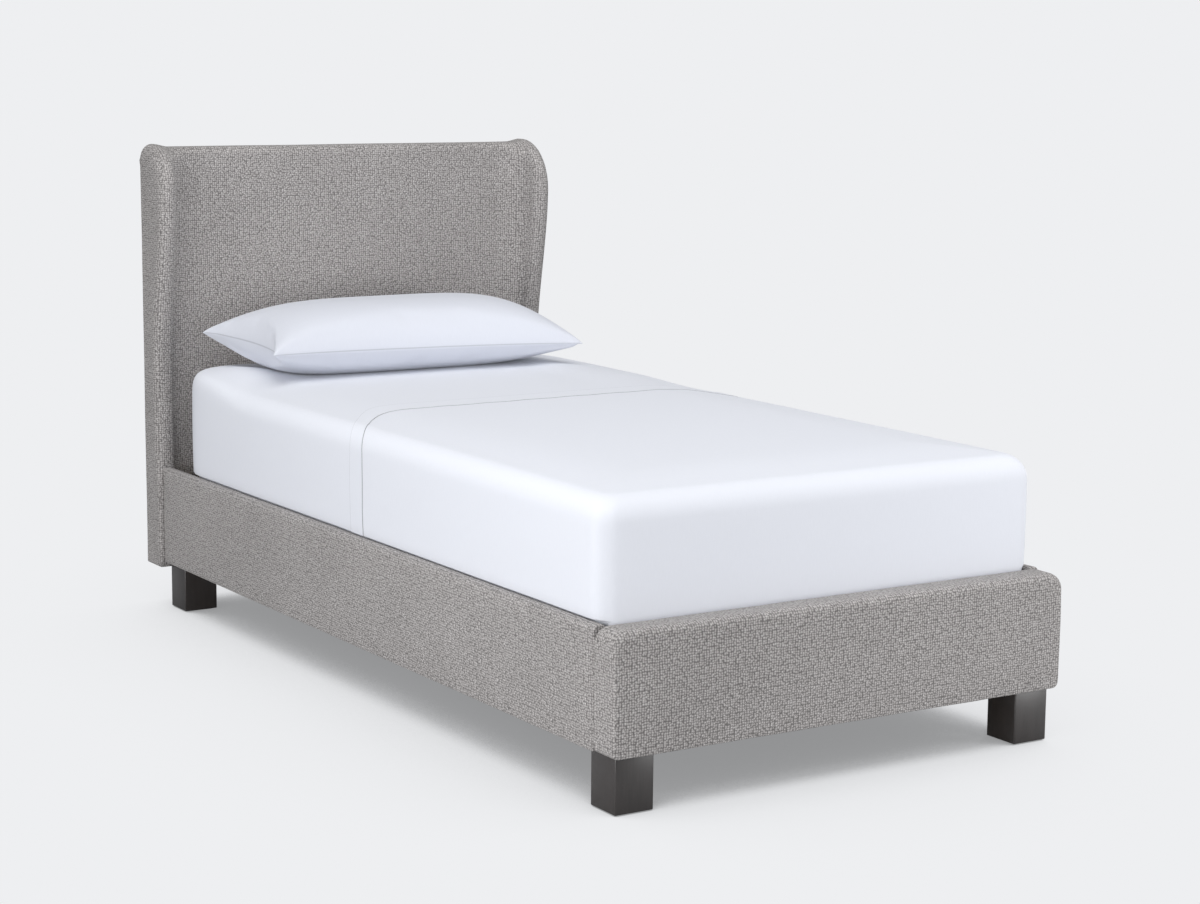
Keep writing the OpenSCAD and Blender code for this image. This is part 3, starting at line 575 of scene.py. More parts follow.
def tweed_material(shades):
    """Nubby heathered tweed: rows of boucle nubs in three yarns, fibres and a soft fuzz, with painted shade
    between nubs.
    """
    nub_width, nub_height = 0.0052, 0.0047
    dome_inner, dome_outer = 0.1, 0.62    # distances from a nub's middle between which it falls off
    # painted shade in the gaps between the nubs and painted light on their tops, as shares of the yarn
    # colour
    painted_gap_shade, painted_nub_light = 0.46, 1.30
    # painted shade between the columns of nubs and lighter on them, as shares of the yarn colour
    painted_rib_shades = 0.93, 1.07
    sway_scale, sway_reach = 90.0, 0.004
    made = Shader("Heathered tweed")
    weave = made.weave()
    sway = made.add("TexNoise", {"Vector": weave, "Scale": sway_scale, "Detail": 1.0}).outputs["Color"]
    sway = made.add("VectorMath", {0: sway, 1: (0.5, 0.5, 0.5)}, operation="SUBTRACT").outputs["Vector"]
    sway = made.add("VectorMath", {0: sway, "Scale": sway_reach}, operation="SCALE").outputs["Vector"]
    swayed = made.add("VectorMath", {0: weave, 1: sway}, operation="ADD").outputs["Vector"]
    cells = made.scaled(swayed, 1 / nub_width, 1 / nub_height)
    nubs = made.flat_cells(cells, 0.5)
    yarn = made.add("SeparateColor", {"Color": nubs["Color"]}).outputs["Red"]
    heather = made.ramp(yarn, (0.0, shades.tweed_dark), (0.22, shades.tweed_mid), (0.68, shades.tweed_mid),
                        (1.0, shades.tweed_light))
    dome = made.spread(nubs["Distance"], dome_inner, dome_outer, 1.0, 0.0)
    # Painted shade: darker in the gaps between the nubs, lighter on their domes
    shade = made.spread(dome, 0.0, 1.0, painted_gap_shade, painted_nub_light)
    across = made.add("SeparateXYZ", {"Vector": swayed}).outputs["X"]
    ribs = made.maths("SINE", made.times(across, 2 * math.pi / nub_width))
    # Painted shade between the columns of nubs
    shade = made.times(shade, made.spread(ribs, -1.0, 1.0, *painted_rib_shades))
    fibre = made.noise(weave, 900.0, detail=3.0, roughness=0.65)
    shade = made.times(shade, made.vary(fibre, 0.86, 1.14))
    patches = made.vary(made.noise(made.place(), 3.5), 0.95, 1.05)
    # Yarn colour times the painted shade, the fibres' tone and the broad patches
    tone = made.shaded(heather, made.times(shade, patches))
    height = made.maths("ADD", dome, made.times(fibre, 0.35))
    return made.finish(tone, made.bump(height, 0.0014, 0.75), roughness=0.95, Sheen_Weight=0.25,
                       Sheen_Roughness=0.45, Sheen_Tint=(0.92, 0.90, 0.88), Specular_IOR_Level=0.2)


def foam_material():
    """Open-cell upholstery foam, with painted shade down in its pores."""
    made = Shader("Upholstery foam")
    cells = made.add("TexVoronoi", {"Vector": made.place(), "Scale": 900.0}).outputs["Distance"]
    # Painted shade: darkest down in the hollow cells, lighter over the cell walls to their rims
    painted_pore_shade, wall, rim = (0.52, 0.45, 0.27), (0.78, 0.71, 0.47), (0.85, 0.79, 0.56)
    tone = made.ramp(cells, (0.0, painted_pore_shade), (0.5, wall), (1.0, rim))
    return made.finish(tone, made.bump(cells, 0.0006, 0.6), roughness=0.95)


def lining_material():
    """Thin black dust cloth with a pressed dot pattern."""
    dots_to_a_metre = 600.0
    made = Shader("Dust cloth")
    weave = made.weave()
    dots = made.flat_cells(made.scaled(weave, dots_to_a_metre, dots_to_a_metre), 0.1)["Distance"]
    fuzz = made.noise(weave, 250.0, detail=4.0)
    tone = made.ramp(fuzz, (0.3, (0.018, 0.018, 0.020)), (0.7, (0.045, 0.045, 0.049)))
    tone = made.shaded(tone, made.spread(dots, 0.15, 0.4, 0.75, 1.1))
    return made.finish(tone, made.bump(dots, 0.0003, 0.5), roughness=0.85, Sheen_Weight=0.1)


def timber_material(name, stretch, pale, dark):
    """Planed timber with its grain along the axis whose stretch is smallest."""
    made = Shader(name)
    grain_place = made.scaled(made.place(), *stretch)
    rings = made.noise(grain_place, 9.0, detail=3.0, distortion=0.6)
    lines = made.add("TexWave", {"Vector": grain_place, "Scale": 16.0, "Distortion": 7.0, "Detail": 3.0,
                                 "Detail Scale": 1.2}, wave_type="BANDS", bands_direction="DIAGONAL")
    pores = made.noise(grain_place, 160.0, detail=4.0, roughness=0.7)
    mixed = made.weighted((rings, 0.55), (lines.outputs["Fac"], 0.30), (pores, 0.25))
    tone = made.ramp(mixed, (0.35, dark), (0.75, pale))
    return made.finish(tone, made.bump(mixed, 0.0006, 0.35), roughness=made.vary(pores, 0.50, 0.68))


def stained_material(shades):
    """Dark stained block: fine upright grain under a satin coat."""
    made = Shader("Espresso stain")
    place = made.place()
    grain = made.noise(made.scaled(place, 1.0, 1.0, 0.07), 210.0, detail=5.0, roughness=0.62,
                       distortion=0.4)
    figure = made.noise(made.scaled(place, 1.0, 1.0, 0.12), 22.0, distortion=1.0)
    mixed = made.weighted((grain, 0.6), (figure, 0.4))
    tone = made.ramp(mixed, (0.32, tinted(shades.stain, 0.72)), (0.70, tinted(shades.stain, 1.45)))
    return made.finish(tone, made.bump(grain, 0.0004, 0.25), roughness=made.vary(grain, 0.34, 0.46),
                       Coat_Weight=1.0, Coat_Roughness=0.28)


def zinc_material():
    """Zinc plated steel with a faint bluish cast and fine brushing."""
    made = Shader("Zinc plated steel")
    place = made.place()
    brush = made.noise(made.scaled(place, 1.0, 0.06, 1.0), 900.0)
    cloud = made.noise(place, 60.0, detail=3.0)
    tone = made.ramp(cloud, (0.35, (0.44, 0.46, 0.50)), (0.65, (0.60, 0.61, 0.63)))
    return made.finish(tone, made.bump(brush, 0.0002, 0.2), roughness=made.vary(brush, 0.28, 0.44),
                       Metallic=0.95)


def plastic_material():
    """Moulded black plastic with a fine texture."""
    made = Shader("Black plastic")
    pits = made.noise(made.place(), 1800.0)
    tone = made.ramp(pits, (0.3, (0.022, 0.022, 0.024)), (0.7, (0.036, 0.036, 0.038)))
    return made.finish(tone, made.bump(pits, 0.0002, 0.3), roughness=0.5)


def linen_material(name, tint, crease=0.5):
    """White percale with crossing threads, faint slubs and soft creases, and the shader that holds it."""
    made = Shader(name)
    weave = made.weave()
    warp, weft = (made.add("TexWave", {"Vector": weave, "Scale": 450.0, "Distortion": 0.4},
                           bands_direction=axis).outputs["Fac"] for axis in "XY")
    threads = made.times(warp, weft)
    slub = made.noise(made.scaled(weave, 1.0, 0.12), 420.0, detail=3.0)
    tone = made.ramp(made.weighted((threads, 0.4), (slub, 0.6)), (0.2, tinted(tint, 0.965)), (0.7, tint))
    creases = made.noise(made.place(), 7.0, detail=4.0, roughness=0.45, distortion=0.5)
    fine = made.bump(threads, 0.00008, 0.35)
    broad = made.bump(creases, 0.004, 0.30 * crease, fine)
    return made.finish(tone, broad, roughness=0.82, Sheen_Weight=0.12, Sheen_Roughness=0.4,
                       Specular_IOR_Level=0.3), made


def hem_material(tint, hem_width):
    """Percale whose UV map hem runs from 0 at the sheet's edge to 1 at the hem's stitching, with painted
    shade along both.
    """
    line_width, stitch, rim_width = 0.0012, 0.003, 0.002
    # Shares of the painted shade: between the stitch dashes, at the sheet's edge, and at most
    between_stitches, painted_edge_shade, darkest_painted_shade = 0.75, 0.6, 0.42
    material, made = linen_material("Percale with hem", tint)
    place = made.add("SeparateXYZ", {"Vector": made.weave("hem")})
    from_edge, along = place.outputs["X"], place.outputs["Y"]
    away = made.maths("ABSOLUTE", made.maths("SUBTRACT", from_edge, 1.0))
    # Groove along the stitching: its painted shade, in dashes, and its bump
    groove = made.spread(made.times(away, hem_width), line_width * 0.5, line_width * 1.5, 1.0, 0.0)
    wave = made.maths("SINE", made.times(along, 2 * math.pi / stitch))
    painted_stitch_shade = made.times(groove, made.spread(wave, -0.4, 0.4, between_stitches, 1.0))
    # Painted shade along the sheet's edge
    rim = made.spread(made.times(from_edge, hem_width), 0.0, rim_width, painted_edge_shade, 0.0)
    # The stronger of the two painted shades darkens the colour
    made.darken(made.spread(made.maths("MAXIMUM", painted_stitch_shade, rim), 0.0, 1.0, 1.0, darkest_painted_shade))
    normal = made.surface.inputs["Normal"]
    fine = normal.links[0].from_socket
    made.put(normal, made.bump(made.maths("SUBTRACT", 1.0, groove), 0.0015, 0.8, fine))
    return material


def ticking_material(shades):
    """Quilted ticking: stitched diamonds over soft filling, with painted shade in the stitched valleys."""
    made = Shader("Quilted ticking")
    weave = made.weave()
    turned = made.add("Mapping", {"Vector": weave, "Rotation": (0, 0, math.radians(45)),
                                  "Scale": (11.0, 11.0, 1.0)}).outputs["Vector"]
    cells = made.flat_cells(turned, 0.0, "DISTANCE_TO_EDGE")["Distance"]
    pillowed = made.spread(cells, 0.0, 0.32)
    knit = made.noise(made.scaled(weave, 1.0, 0.4), 700.0)
    # Painted shade: darker along the stitched valleys between the puffed diamonds
    tone = made.ramp(made.weighted((pillowed, 0.7), (knit, 0.3)),
                     (0.1, tinted(shades.ticking, 0.86)), (0.6, shades.ticking))
    fine = made.bump(knit, 0.0002, 0.3)
    return made.finish(tone, made.bump(pillowed, 0.006, 0.7, fine), roughness=0.85, Sheen_Weight=0.1)


# Headboard

FRONT_LEVELS = 52
PANEL_STEPS, HOLLOW_STEPS, ROLL_STEPS, NOSE_STEPS = 22, 9, 5, 10    # from the middle to the side
LEVEL_POWER = 1.15    # sets the front's levels closer together near the bottom
TOP_STEPS = 4
CORNER_STEPS = 10
ROLL_SHARE = 0.3    # share of the step behind the wing that the padded roll takes
NOSE_GROWTH = 0.12    # height over which the wings' front edge grows to its full radius
SIDE_SHARES = 0.93, 0.8, 0.6, 0.4, 0.2, 0.0    # rings on the wings' outer sides, from rim to middle
SPINE_LIFT = 0.03    # height of the sides' middle line above their lower edge
LINING_THICKNESS = 0.0005


def wing_depth(z, sizes):
    """Depth of the wings from the headboard's back, at height z."""
    corner_z = PANEL_HIGH.z + sizes.wing_rise - sizes.corner_radius
    waist = sizes.waist_height
    base, slim, full = sizes.wing_base_depth, sizes.wing_waist_depth, sizes.wing_top_depth
    lower = base + (slim - base) * rise(z, RAIL_TOP, waist - RAIL_TOP)
    upper = slim + (full - slim) * rise(z, waist, corner_z - waist)
    return np.where(z < waist, lower, upper)


def hollow_share(x, sizes):
    """Share of the step from the wing's front to the headboard's middle that is done at x."""
    nose_x = WING_HIGH.x - sizes.nose_radius
    hollow_x = nose_x - sizes.nose_radius
    if x >= nose_x:
        return 0.0
    if x > hollow_x:
        return ROLL_SHARE * float(quarter(1.0, (nose_x - x) / sizes.nose_radius))
    if x > PANEL_HIGH.x:
        across = min(1.0, (x - PANEL_HIGH.x) / sizes.hollow_width)
        return 1 - (1 - ROLL_SHARE) * (1 - math.sqrt(1 - across**2))
    return 1.0


def headboard_ring(x, sizes):
    """Side outline of the headboard at x: up the front, over the top, down the back, along the bottom."""
    x = abs(x)
    half = WING_HIGH.x
    share = hollow_share(x, sizes)
    nose_x = half - sizes.nose_radius
    lift = sizes.wing_rise * ease(1 - (nose_x - x) / (2 * sizes.nose_radius))
    top = PANEL_HIGH.z + lift - sizes.wing_top_drop * quarter(1.0, (x - half) / sizes.wing_top_width + 1)
    low = WING_LOW.z + quarter(sizes.low_radius, x - half + sizes.low_radius)
    back = BACK_Y - quarter(sizes.back_radius, x - half + sizes.back_radius)
    radius = sizes.corner_radius * (1 - share) + sizes.top_edge_radius * share
    corner_z = top - radius
    z = low + (corner_z - low) * np.linspace(0, 1, FRONT_LEVELS) ** LEVEL_POWER
    depth = wing_depth(z, sizes)
    grown = ease((z - RAIL_TOP) / NOSE_GROWTH + 0.5)
    edge = sizes.low_nose_radius + (sizes.nose_radius - sizes.low_nose_radius) * grown
    front = BACK_Y - depth + (depth - (BACK_Y - PANEL_LOW.y)) * share + quarter(edge, x - half + edge)
    front = front + quarter(sizes.low_radius, sizes.low_radius - (z - low))
    turn = np.linspace(0, np.pi / 2, CORNER_STEPS + 1)[1:]
    arc = np.stack([front[-1] + radius * (1 - np.cos(turn)), corner_z + radius * np.sin(turn)], 1)
    top_y = np.linspace(arc[-1][0], back - sizes.back_radius, TOP_STEPS + 1)[1:]
    turn = np.linspace(0, np.pi / 2, TOP_STEPS + 1)[1:]
    back_arc = np.stack([back - sizes.back_radius * (1 - np.sin(turn)),
                         top - sizes.back_radius * (1 - np.cos(turn))], 1)
    upper_z = np.linspace(top - sizes.back_radius, corner_z, TOP_STEPS + 2)[1:-1]
    bottom_y = np.linspace(back, front[0], TOP_STEPS + 2)[1:-1]
    return np.concatenate([
        np.stack([front, z], 1),
        arc,
        np.stack([top_y, np.full(TOP_STEPS, float(top))], 1),
        back_arc,
        np.stack([np.full(TOP_STEPS, float(back)), upper_z], 1),
        np.stack([np.full(FRONT_LEVELS, float(back)), z[::-1]], 1),
        np.stack([bottom_y, np.full(TOP_STEPS, float(low))], 1),
    ])


def headboard_stations(sizes):
    """Places from the middle to the side where the headboard's outline is taken."""
    nose_x = WING_HIGH.x - sizes.nose_radius
    hollow_turn = np.radians(np.linspace(9, 81, HOLLOW_STEPS))
    roll_turn = np.radians(np.linspace(0, 72, ROLL_STEPS))
    nose_turn = np.radians(np.linspace(0, 90, NOSE_STEPS))
    return np.concatenate([
        np.linspace(0, PANEL_HIGH.x, PANEL_STEPS),
        PANEL_HIGH.x + sizes.hollow_width * np.sin(hollow_turn),
        nose_x - sizes.nose_radius * np.cos(roll_turn),
        nose_x + sizes.nose_radius * np.sin(nose_turn),
    ])


def headboard_points(sizes):
    """Rows of the headboard's skin from the left side's middle to the right side's."""
    stations = headboard_stations(sizes)
    side = headboard_ring(stations[-1], sizes)
    spine_low, spine_high = side[0, 1] + SPINE_LIFT, side[FRONT_LEVELS - 1, 1]
    spine = np.stack([np.full(len(side), BACK_Y - sizes.wing_waist_depth / 2),
                      np.clip(side[:, 1], spine_low, spine_high)], 1)
    half_rows = [(x, headboard_ring(x, sizes)) for x in stations]
    half_rows += [(stations[-1], spine + (side - spine) * share) for share in SIDE_SHARES]
    rows = [(-x, ring) for x, ring in half_rows[:0:-1]] + half_rows
    points = np.array([np.column_stack([np.full(len(ring), x), ring]) for x, ring in rows])
    return np.concatenate([points, points[:, :1]], axis=1)


class BED_OT_headboard(bpy.types.Operator):
    """Headboard's padded cover with its two wings, one seamless skin over the frame"""

    bl_idname = "bed.headboard"
    bl_label = "Headboard Upholstery"

    def execute(self, context):
        sizes = context.scene.bed_headboard
        tweed = bpy.data.materials["Heathered tweed"]
        foam = foam_material()
        cover = add_grid("headboard_upholstery", headboard_points(sizes))
        edit_all(cover, merge_doubles, turn_outwards)
        swell(cover, 0.22, 3.0, sizes.swell)
        dress(cover, tweed)
        panel_x, board_x = PANEL_HIGH.x, PLY_HIGH.x
        slot_depth, bed_clearance, lining_depth, past_back = 0.019, 0.06, 0.005, 0.02
        slot_front = POST_HIGH.y - slot_depth
        bed_end = POST_LOW.y - bed_clearance
        lining_front, behind = POST_HIGH.y - lining_depth, BACK_Y + past_back
        for low, high in (
            ((-board_x, PLY_LOW.y, PANEL_LOW.z), (board_x, POST_HIGH.y, POST_HIGH.z)),
            ((-board_x, slot_front, POST_LOW.z), (board_x, POST_HIGH.y, PANEL_LOW.z + CUT)),
            ((-RAIL_LOW.x, bed_end, 0.0), (RAIL_LOW.x, PLY_HIGH.y, PANEL_LOW.z)),
            ((-panel_x, lining_front, 0.0), (panel_x, behind, LINING_HIGH.z)),
        ):
            carve_block(cover, low, high, foam)
        smooth(cover)
        lay_weave(cover)
        finish_piece(cover, "frame",
                     ["headboard_front_cover", "left_wing_cover", "right_wing_cover",
                      "headboard_foam", "left_wing_foam", "right_wing_foam"])
        return {"FINISHED"}


class BED_OT_lining(bpy.types.Operator):
    """Dust cloth stapled over the headboard's back, slightly slack between its edges"""

    bl_idname = "bed.lining"
    bl_label = "Back Lining"

    def execute(self, context):
        low, high = LINING_LOW, LINING_HIGH
        columns, rows = 61, 73
        slack, ripple, ripple_turns, ripple_reach = 0.0006, 0.00035, 70, 0.10
        x, z = np.meshgrid(np.linspace(low.x, high.x, columns), np.linspace(low.z, high.z, rows))
        across = np.sin(np.pi * (x - low.x) / (high.x - low.x))
        upwards = np.sin(np.pi * (z - low.z) / (high.z - low.z))
        sag = slack * (0.5 * across * upwards)
        wave = ripple * np.sin(x * ripple_turns) * np.exp(-(z - low.z) / ripple_reach)
        points = np.stack([x, np.full_like(x, high.y) - sag + wave, z], 2)
        cloth = add_grid("headboard_lining", points[:, ::-1])
        thicken(cloth, LINING_THICKNESS)
        dress(cloth, lining_material())
        smooth(cloth)
        lay_weave(cloth)
        finish_piece(cloth, "frame", ["headboard_back_cloth"])
        return {"FINISHED"}


# Side rails and footboard

FOOT_FLAP = 0.0008    # how far the rails' cover reaches past the padding at the foot end
INNER_BAND = 0.001    # depth of the rails' inner side, whose end edges stay sharp
LONG, TALL = 1.0, 0.1    # lengths past which an edge of the rail's block is divided
LONG_CUTS, TALL_CUTS = 70, 9
SWELL_FADE = 0.03    # length over which the rails' swell fades at their ends
TOP_BAND = 0.02    # height of the rails' upper part that is uneven upwards
TOP_UNEVENNESS = 0.8    # share of the outer face's unevenness that it takes
BOARD_RUN = 0.05    # how far the space for the rail's board runs past its ends


def build_rail(side, sizes, tweed, foam):
    """Padded cover of one side rail over its board, open below the slats on its inner side."""
    name = "left" if side < 0 else "right"
    low, high = Vector((RAIL_LOW.x, RAIL_LOW.y - FOOT_FLAP, RAIL_LOW.z)), RAIL_HIGH
    outside = low.x + INNER_BAND
    cover = add_block(name + "_rail_upholstery", low, high)

    def along(a, b):
        return near(a.x, b.x) and near(a.z, b.z) and not near(a.y, b.y)

    def upright(a, b):
        return near(a.x, b.x) and near(a.x, high.x) and near(a.y, b.y) and abs(a.z - b.z) > TALL

    bevel_edges(cover, lambda a, b: along(a, b) and near(a.z, high.z), sizes.rail_radius, 6)
    bevel_edges(cover, lambda a, b: along(a, b) and near(a.z, low.z) and near(a.x, high.x),
                sizes.rail_low_radius, 4)
    for end in (low.y, high.y):
        bevel_edges(cover, lambda a, b: near(a.y, end) and near(b.y, end) and max(a.x, b.x) > outside,
                    sizes.rail_end_radius, 3)
    divide_edges(cover, lambda a, b: along(a, b) and abs(a.y - b.y) > LONG, LONG_CUTS)
    divide_edges(cover, upright, TALL_CUTS)
    points = coordinates(cover)
    outer = np.clip((points[:, 0] - low.x) / (high.x - low.x), 0, 1)
    middle = arch(points[:, 2], low.z, high.z)
    ends = np.clip(np.minimum(points[:, 1] - low.y, high.y - points[:, 1]) / SWELL_FADE, 0, 1)
    rough = unevenness(points, (0.11, 5.0 + side, 0.0007), (0.035, 9.0 + side, 0.0003))
    points[:, 0] += outer * ends * (sizes.rail_swell * middle + rough)
    points[:, 2] += (points[:, 2] > high.z - TOP_BAND) * ends * rough * TOP_UNEVENNESS
    set_coordinates(cover, points)
    dress(cover, tweed)
    run = Vector((0, BOARD_RUN, 0))
    board_low, board_high = RAIL_BOARD_LOW, RAIL_BOARD_HIGH + run
    carve_block(cover, board_low - run, (board_high.x, board_high.y, SLAT_TOP + CUT), foam)
    carve_block(cover, (board_low.x, RAIL_LOW.y, SLAT_TOP), board_high, foam)
    carve_block(cover, (low.x - CUT, low.y - CUT, low.z - CUT),
                (board_low.x + CUT, high.y + CUT, SLAT_TOP), foam)
    if side < 0:
        cover.data.transform(Matrix.Diagonal((-1, 1, 1, 1)))
        edit_all(cover, merge_doubles, turn_outwards)
    smooth(cover)
    lay_weave(cover)
    finish_piece(cover, "frame", [name + "_rail_cover", name + "_rail_foam"])


class BED_OT_rails(bpy.types.Operator):
    """Padded covers of the two side rails"""

    bl_idname = "bed.rails"
    bl_label = "Side Rail Upholstery"

    def execute(self, context):
        sizes = context.scene.bed_frame
        tweed, foam = bpy.data.materials["Heathered tweed"], bpy.data.materials["Upholstery foam"]
        for side in (-1, 1):
            build_rail(side, sizes, tweed, foam)
        return {"FINISHED"}


FOOT_CORNER_STEPS, FOOT_WIDE_STEPS, FOOT_TALL_STEPS = 7, 44, 8
FOOT_ROLL_STEPS, FOOT_DEPTH_STEPS = 9, 5
FOOT_PUFF = 0.0012    # how far the padding puffs out the footboard's front
CORE_INSET = 0.11    # distance from the footboard's ends to the middle line of its faces
CAP_SHARES = 0.0, 0.25, 0.5, 0.7, 0.85, 0.95    # rings on its faces, from the middle line outwards


def footboard_ring(half, low, high, low_radius, high_radius):
    """Outline of the footboard around x = 0, with rounded corners, anticlockwise from low left."""
    corners = [(-half, low, low_radius, 180), (half, low, low_radius, 270), (half, high, high_radius, 0),
               (-half, high, high_radius, 90)]
    arcs = []
    for x, z, radius, start in corners:
        turn = np.radians(start + np.linspace(0, 90, FOOT_CORNER_STEPS + 1))
        centre = (x - math.copysign(radius, x), z + (radius if z == low else -radius))
        arcs.append(np.stack([centre[0] + radius * np.cos(turn), centre[1] + radius * np.sin(turn)], 1))
    return join_arcs(arcs, FOOT_WIDE_STEPS, FOOT_TALL_STEPS)


def footboard_points(sizes):
    """Rings of the footboard's skin from the middle of its front to the middle of its back."""
    front, back, half = FOOT_LOW.y, FOOT_HIGH.y, FOOT_HIGH.x
    roll = sizes.roll_width * (1 - np.cos(np.radians(np.linspace(0, 90, FOOT_ROLL_STEPS))))
    middle = np.linspace(front + sizes.roll_width, back - sizes.roll_width, FOOT_DEPTH_STEPS)[1:-1]
    depths = np.concatenate([front + roll, middle, (back - roll)[::-1]])
    rings = []
    for y in depths:
        inset = min(y - front, back - y)
        drop = sizes.roll_drop * float(quarter(1.0, 1 - inset / sizes.roll_width))
        pull = float(quarter(sizes.side_radius, sizes.side_radius - inset))
        ring = footboard_ring(half - pull, FOOT_LOW.z + pull / 2, FOOT_HIGH.z - drop, sizes.low_radius,
                              sizes.corner_radius)
        rings.append(np.column_stack([ring[:, 0], np.full(len(ring), y), ring[:, 1]]))
    core_x, core_z = half - CORE_INSET, (FOOT_LOW.z + FOOT_HIGH.z) / 2

    def cap(ring):
        core = np.column_stack([np.clip(ring[:, 0], -core_x, core_x), ring[:, 1],
                                np.full(len(ring), core_z)])
        return [core + (ring - core) * share for share in CAP_SHARES]

    points = np.array(cap(rings[0]) + rings + cap(rings[-1])[::-1])
    return np.concatenate([points, points[:, :1]], axis=1)


class BED_OT_footboard(bpy.types.Operator):
    """Padded cover of the footboard with its rolled top edges"""

    bl_idname = "bed.footboard"
    bl_label = "Footboard Upholstery"

    def execute(self, context):
        sizes = context.scene.bed_frame
        tweed, foam = bpy.data.materials["Heathered tweed"], bpy.data.materials["Upholstery foam"]
        cover = add_grid("footboard_upholstery", footboard_points(sizes))
        edit_all(cover, merge_doubles, turn_outwards)
        points, facing = coordinates(cover), normals(cover)
        puff = np.clip(-facing[:, 1], 0, 1) * FOOT_PUFF * arch(points[:, 2], FOOT_LOW.z, FOOT_HIGH.z)
        rough = unevenness(points, (0.10, 11.0, 0.0006), (0.03, 13.0, 0.0003))
        push_out(cover, points, facing, puff + rough)
        dress(cover, tweed)
        low, high = FOOT_BOX_LOW, FOOT_BOX_HIGH
        leg_overlap, past_back = 0.002, 0.01
        lip_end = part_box("front_left_leg")[0].y + leg_overlap
        behind = FOOT_HIGH.y + past_back
        carve_block(cover, low, high, foam)
        carve_block(cover, (low.x, lip_end, 0.0), (high.x, behind, low.z + CUT), foam)
        carve_block(cover, (low.x, high.y - CUT, 0.0), (high.x, behind, SLAT_TOP), foam)
        smooth(cover)
        lay_weave(cover)
        finish_piece(cover, "frame", ["footboard_cover", "footboard_foam"])
        return {"FINISHED"}


class BED_OT_legs(bpy.types.Operator):
    """Four dark block legs with eased edges, modelled once and copied"""

    bl_idname = "bed.legs"
    bl_label = "Block Legs"

    def execute(self, context):
        sizes = context.scene.bed_frame
        stain = stained_material(context.scene.bed_colours)
        low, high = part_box("front_left_leg")
        rim, step, recess = 0.006, 0.002, 0.0015
        downwards = -0.99

        def recess_underside():
            bpy.ops.mesh.inset(thickness=rim)
            bpy.ops.mesh.inset(thickness=step, depth=-recess)

        first = add_block("block_leg", low, high)
        bevel_edges(first, lambda a, b: True, sizes.leg_radius, 3)
        edit_where(first, lambda face: face.normal.z < downwards, recess_underside, faces=True)
        dress(first, stain)
        smooth(first, 30)
        for corner in ("front_left", "front_right", "back_left", "back_right"):
            leg = link_copy(first, corner + "_block_leg")
            leg.data.transform(Matrix.Translation(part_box(corner + "_leg")[0] - low))
            lay_weave(leg)
            finish_piece(leg, "frame", [corner + "_leg"])
        bpy.data.objects.remove(first)
        return {"FINISHED"}


# Mattress and sheets

EDGE_FULLNESS = 3.2    # power of the rounded top edge at the head end, where 2 is a circle
LEVEL_GAP = 0.001    # least distance of the flat sheet's first two levels
SIDE_BOW = 0.002    # how far the mattress's sides bow out above the bulge
SMALLEST_ARC = 0.002    # radius that the upright corners keep at least
BULGE_RAMP = 0.033    # height below the rails' top over which the foot corners fill out
BELOW_BULGE = 0.012, 0.008, 0.004    # levels just under the bulge, as drops from its start
BULGE_LEVELS = 0.0, 0.12, 0.3, 0.5, 0.75, 1.0    # levels in the bulge, as shares of its height
UNDER_LEVELS, LOWER_LEVELS, SIDE_LEVELS, EDGE_LEVELS, CROWN_LEVELS = 5, 6, 12, 11, 10
ARC_STEPS, ACROSS_STEPS, ALONG_STEPS = 8, 24, 46
FILLED_TURN = 35, 30    # degrees round the foot corners: start and width of their filling out
SPINE_END = 0.45    # distance from foot and head at which the middle line of the top ends
TOP_RINGS, BOTTOM_RINGS, SHEET_RINGS = 10, 6, 9

# Where the mattress plumps up: start and width of each soft rise
BESIDE_PILLOW = 0.24, 0.15
BEHIND_PILLOW = 0.865, 0.04
LEFT_HEAD = 0.50, 0.30
RIGHT_HEAD = 0.16, 0.24
UPPER_PART = 0.44, 0.10
LEFT_TO_RIGHT = 0.4    # width over which the left side's rise turns into the right side's

# Flat sheet
TUCK_HEIGHT = 0.012    # height at which the sheet ends above the mattress's lower corner
EDGE_TURN = 0.349, 0.527    # way from the bed's middle over which the edge draws back to the foot
STITCH_TURN = 0.356, 0.532    # the same for the hem's stitching
HEM_SHARES = 0, 0.02, 0.06, 0.2, 0.45, 0.7, 0.9, 0.96, 0.985, 1.0, 1.015, 1.04, 1.1, 1.3
HEM_FOLD = 0.985, 0.03    # start and width of the step from the folded hem to the single cloth
BODY_ROWS, FOOT_STEPS = 32, 26

RAIL_CREASE = 0.33    # height from which the fitted sheet's side creases start
FITTED_SINK = 0.0004    # how far the fitted sheet's face is drawn in under them
PIPING = 0.003    # radius of the mattress's piping
LOW_TAPE, HIGH_TAPE = (0.012, 0.004), (0.016, 0.014)    # distance from the edge, and inset


def mattress_half(z, sizes):
    """Half the mattress's width at height z: straight between the rails, bulging above them."""
    half = MATTRESS_HIGH.x - sizes.bulge
    above = z - BULGE_START
    top = MATTRESS_HIGH.z - sizes.crown
    main = sizes.bulge - SIDE_BOW
    foot = main - quarter(main, main * (1 - above / sizes.bulge_height))
    body = main + SIDE_BOW * np.sin(np.pi * above / (top - BULGE_START))
    return half + np.where(z <= BULGE_START, 0, np.where(z < BULGE_START + sizes.bulge_height, foot, body))


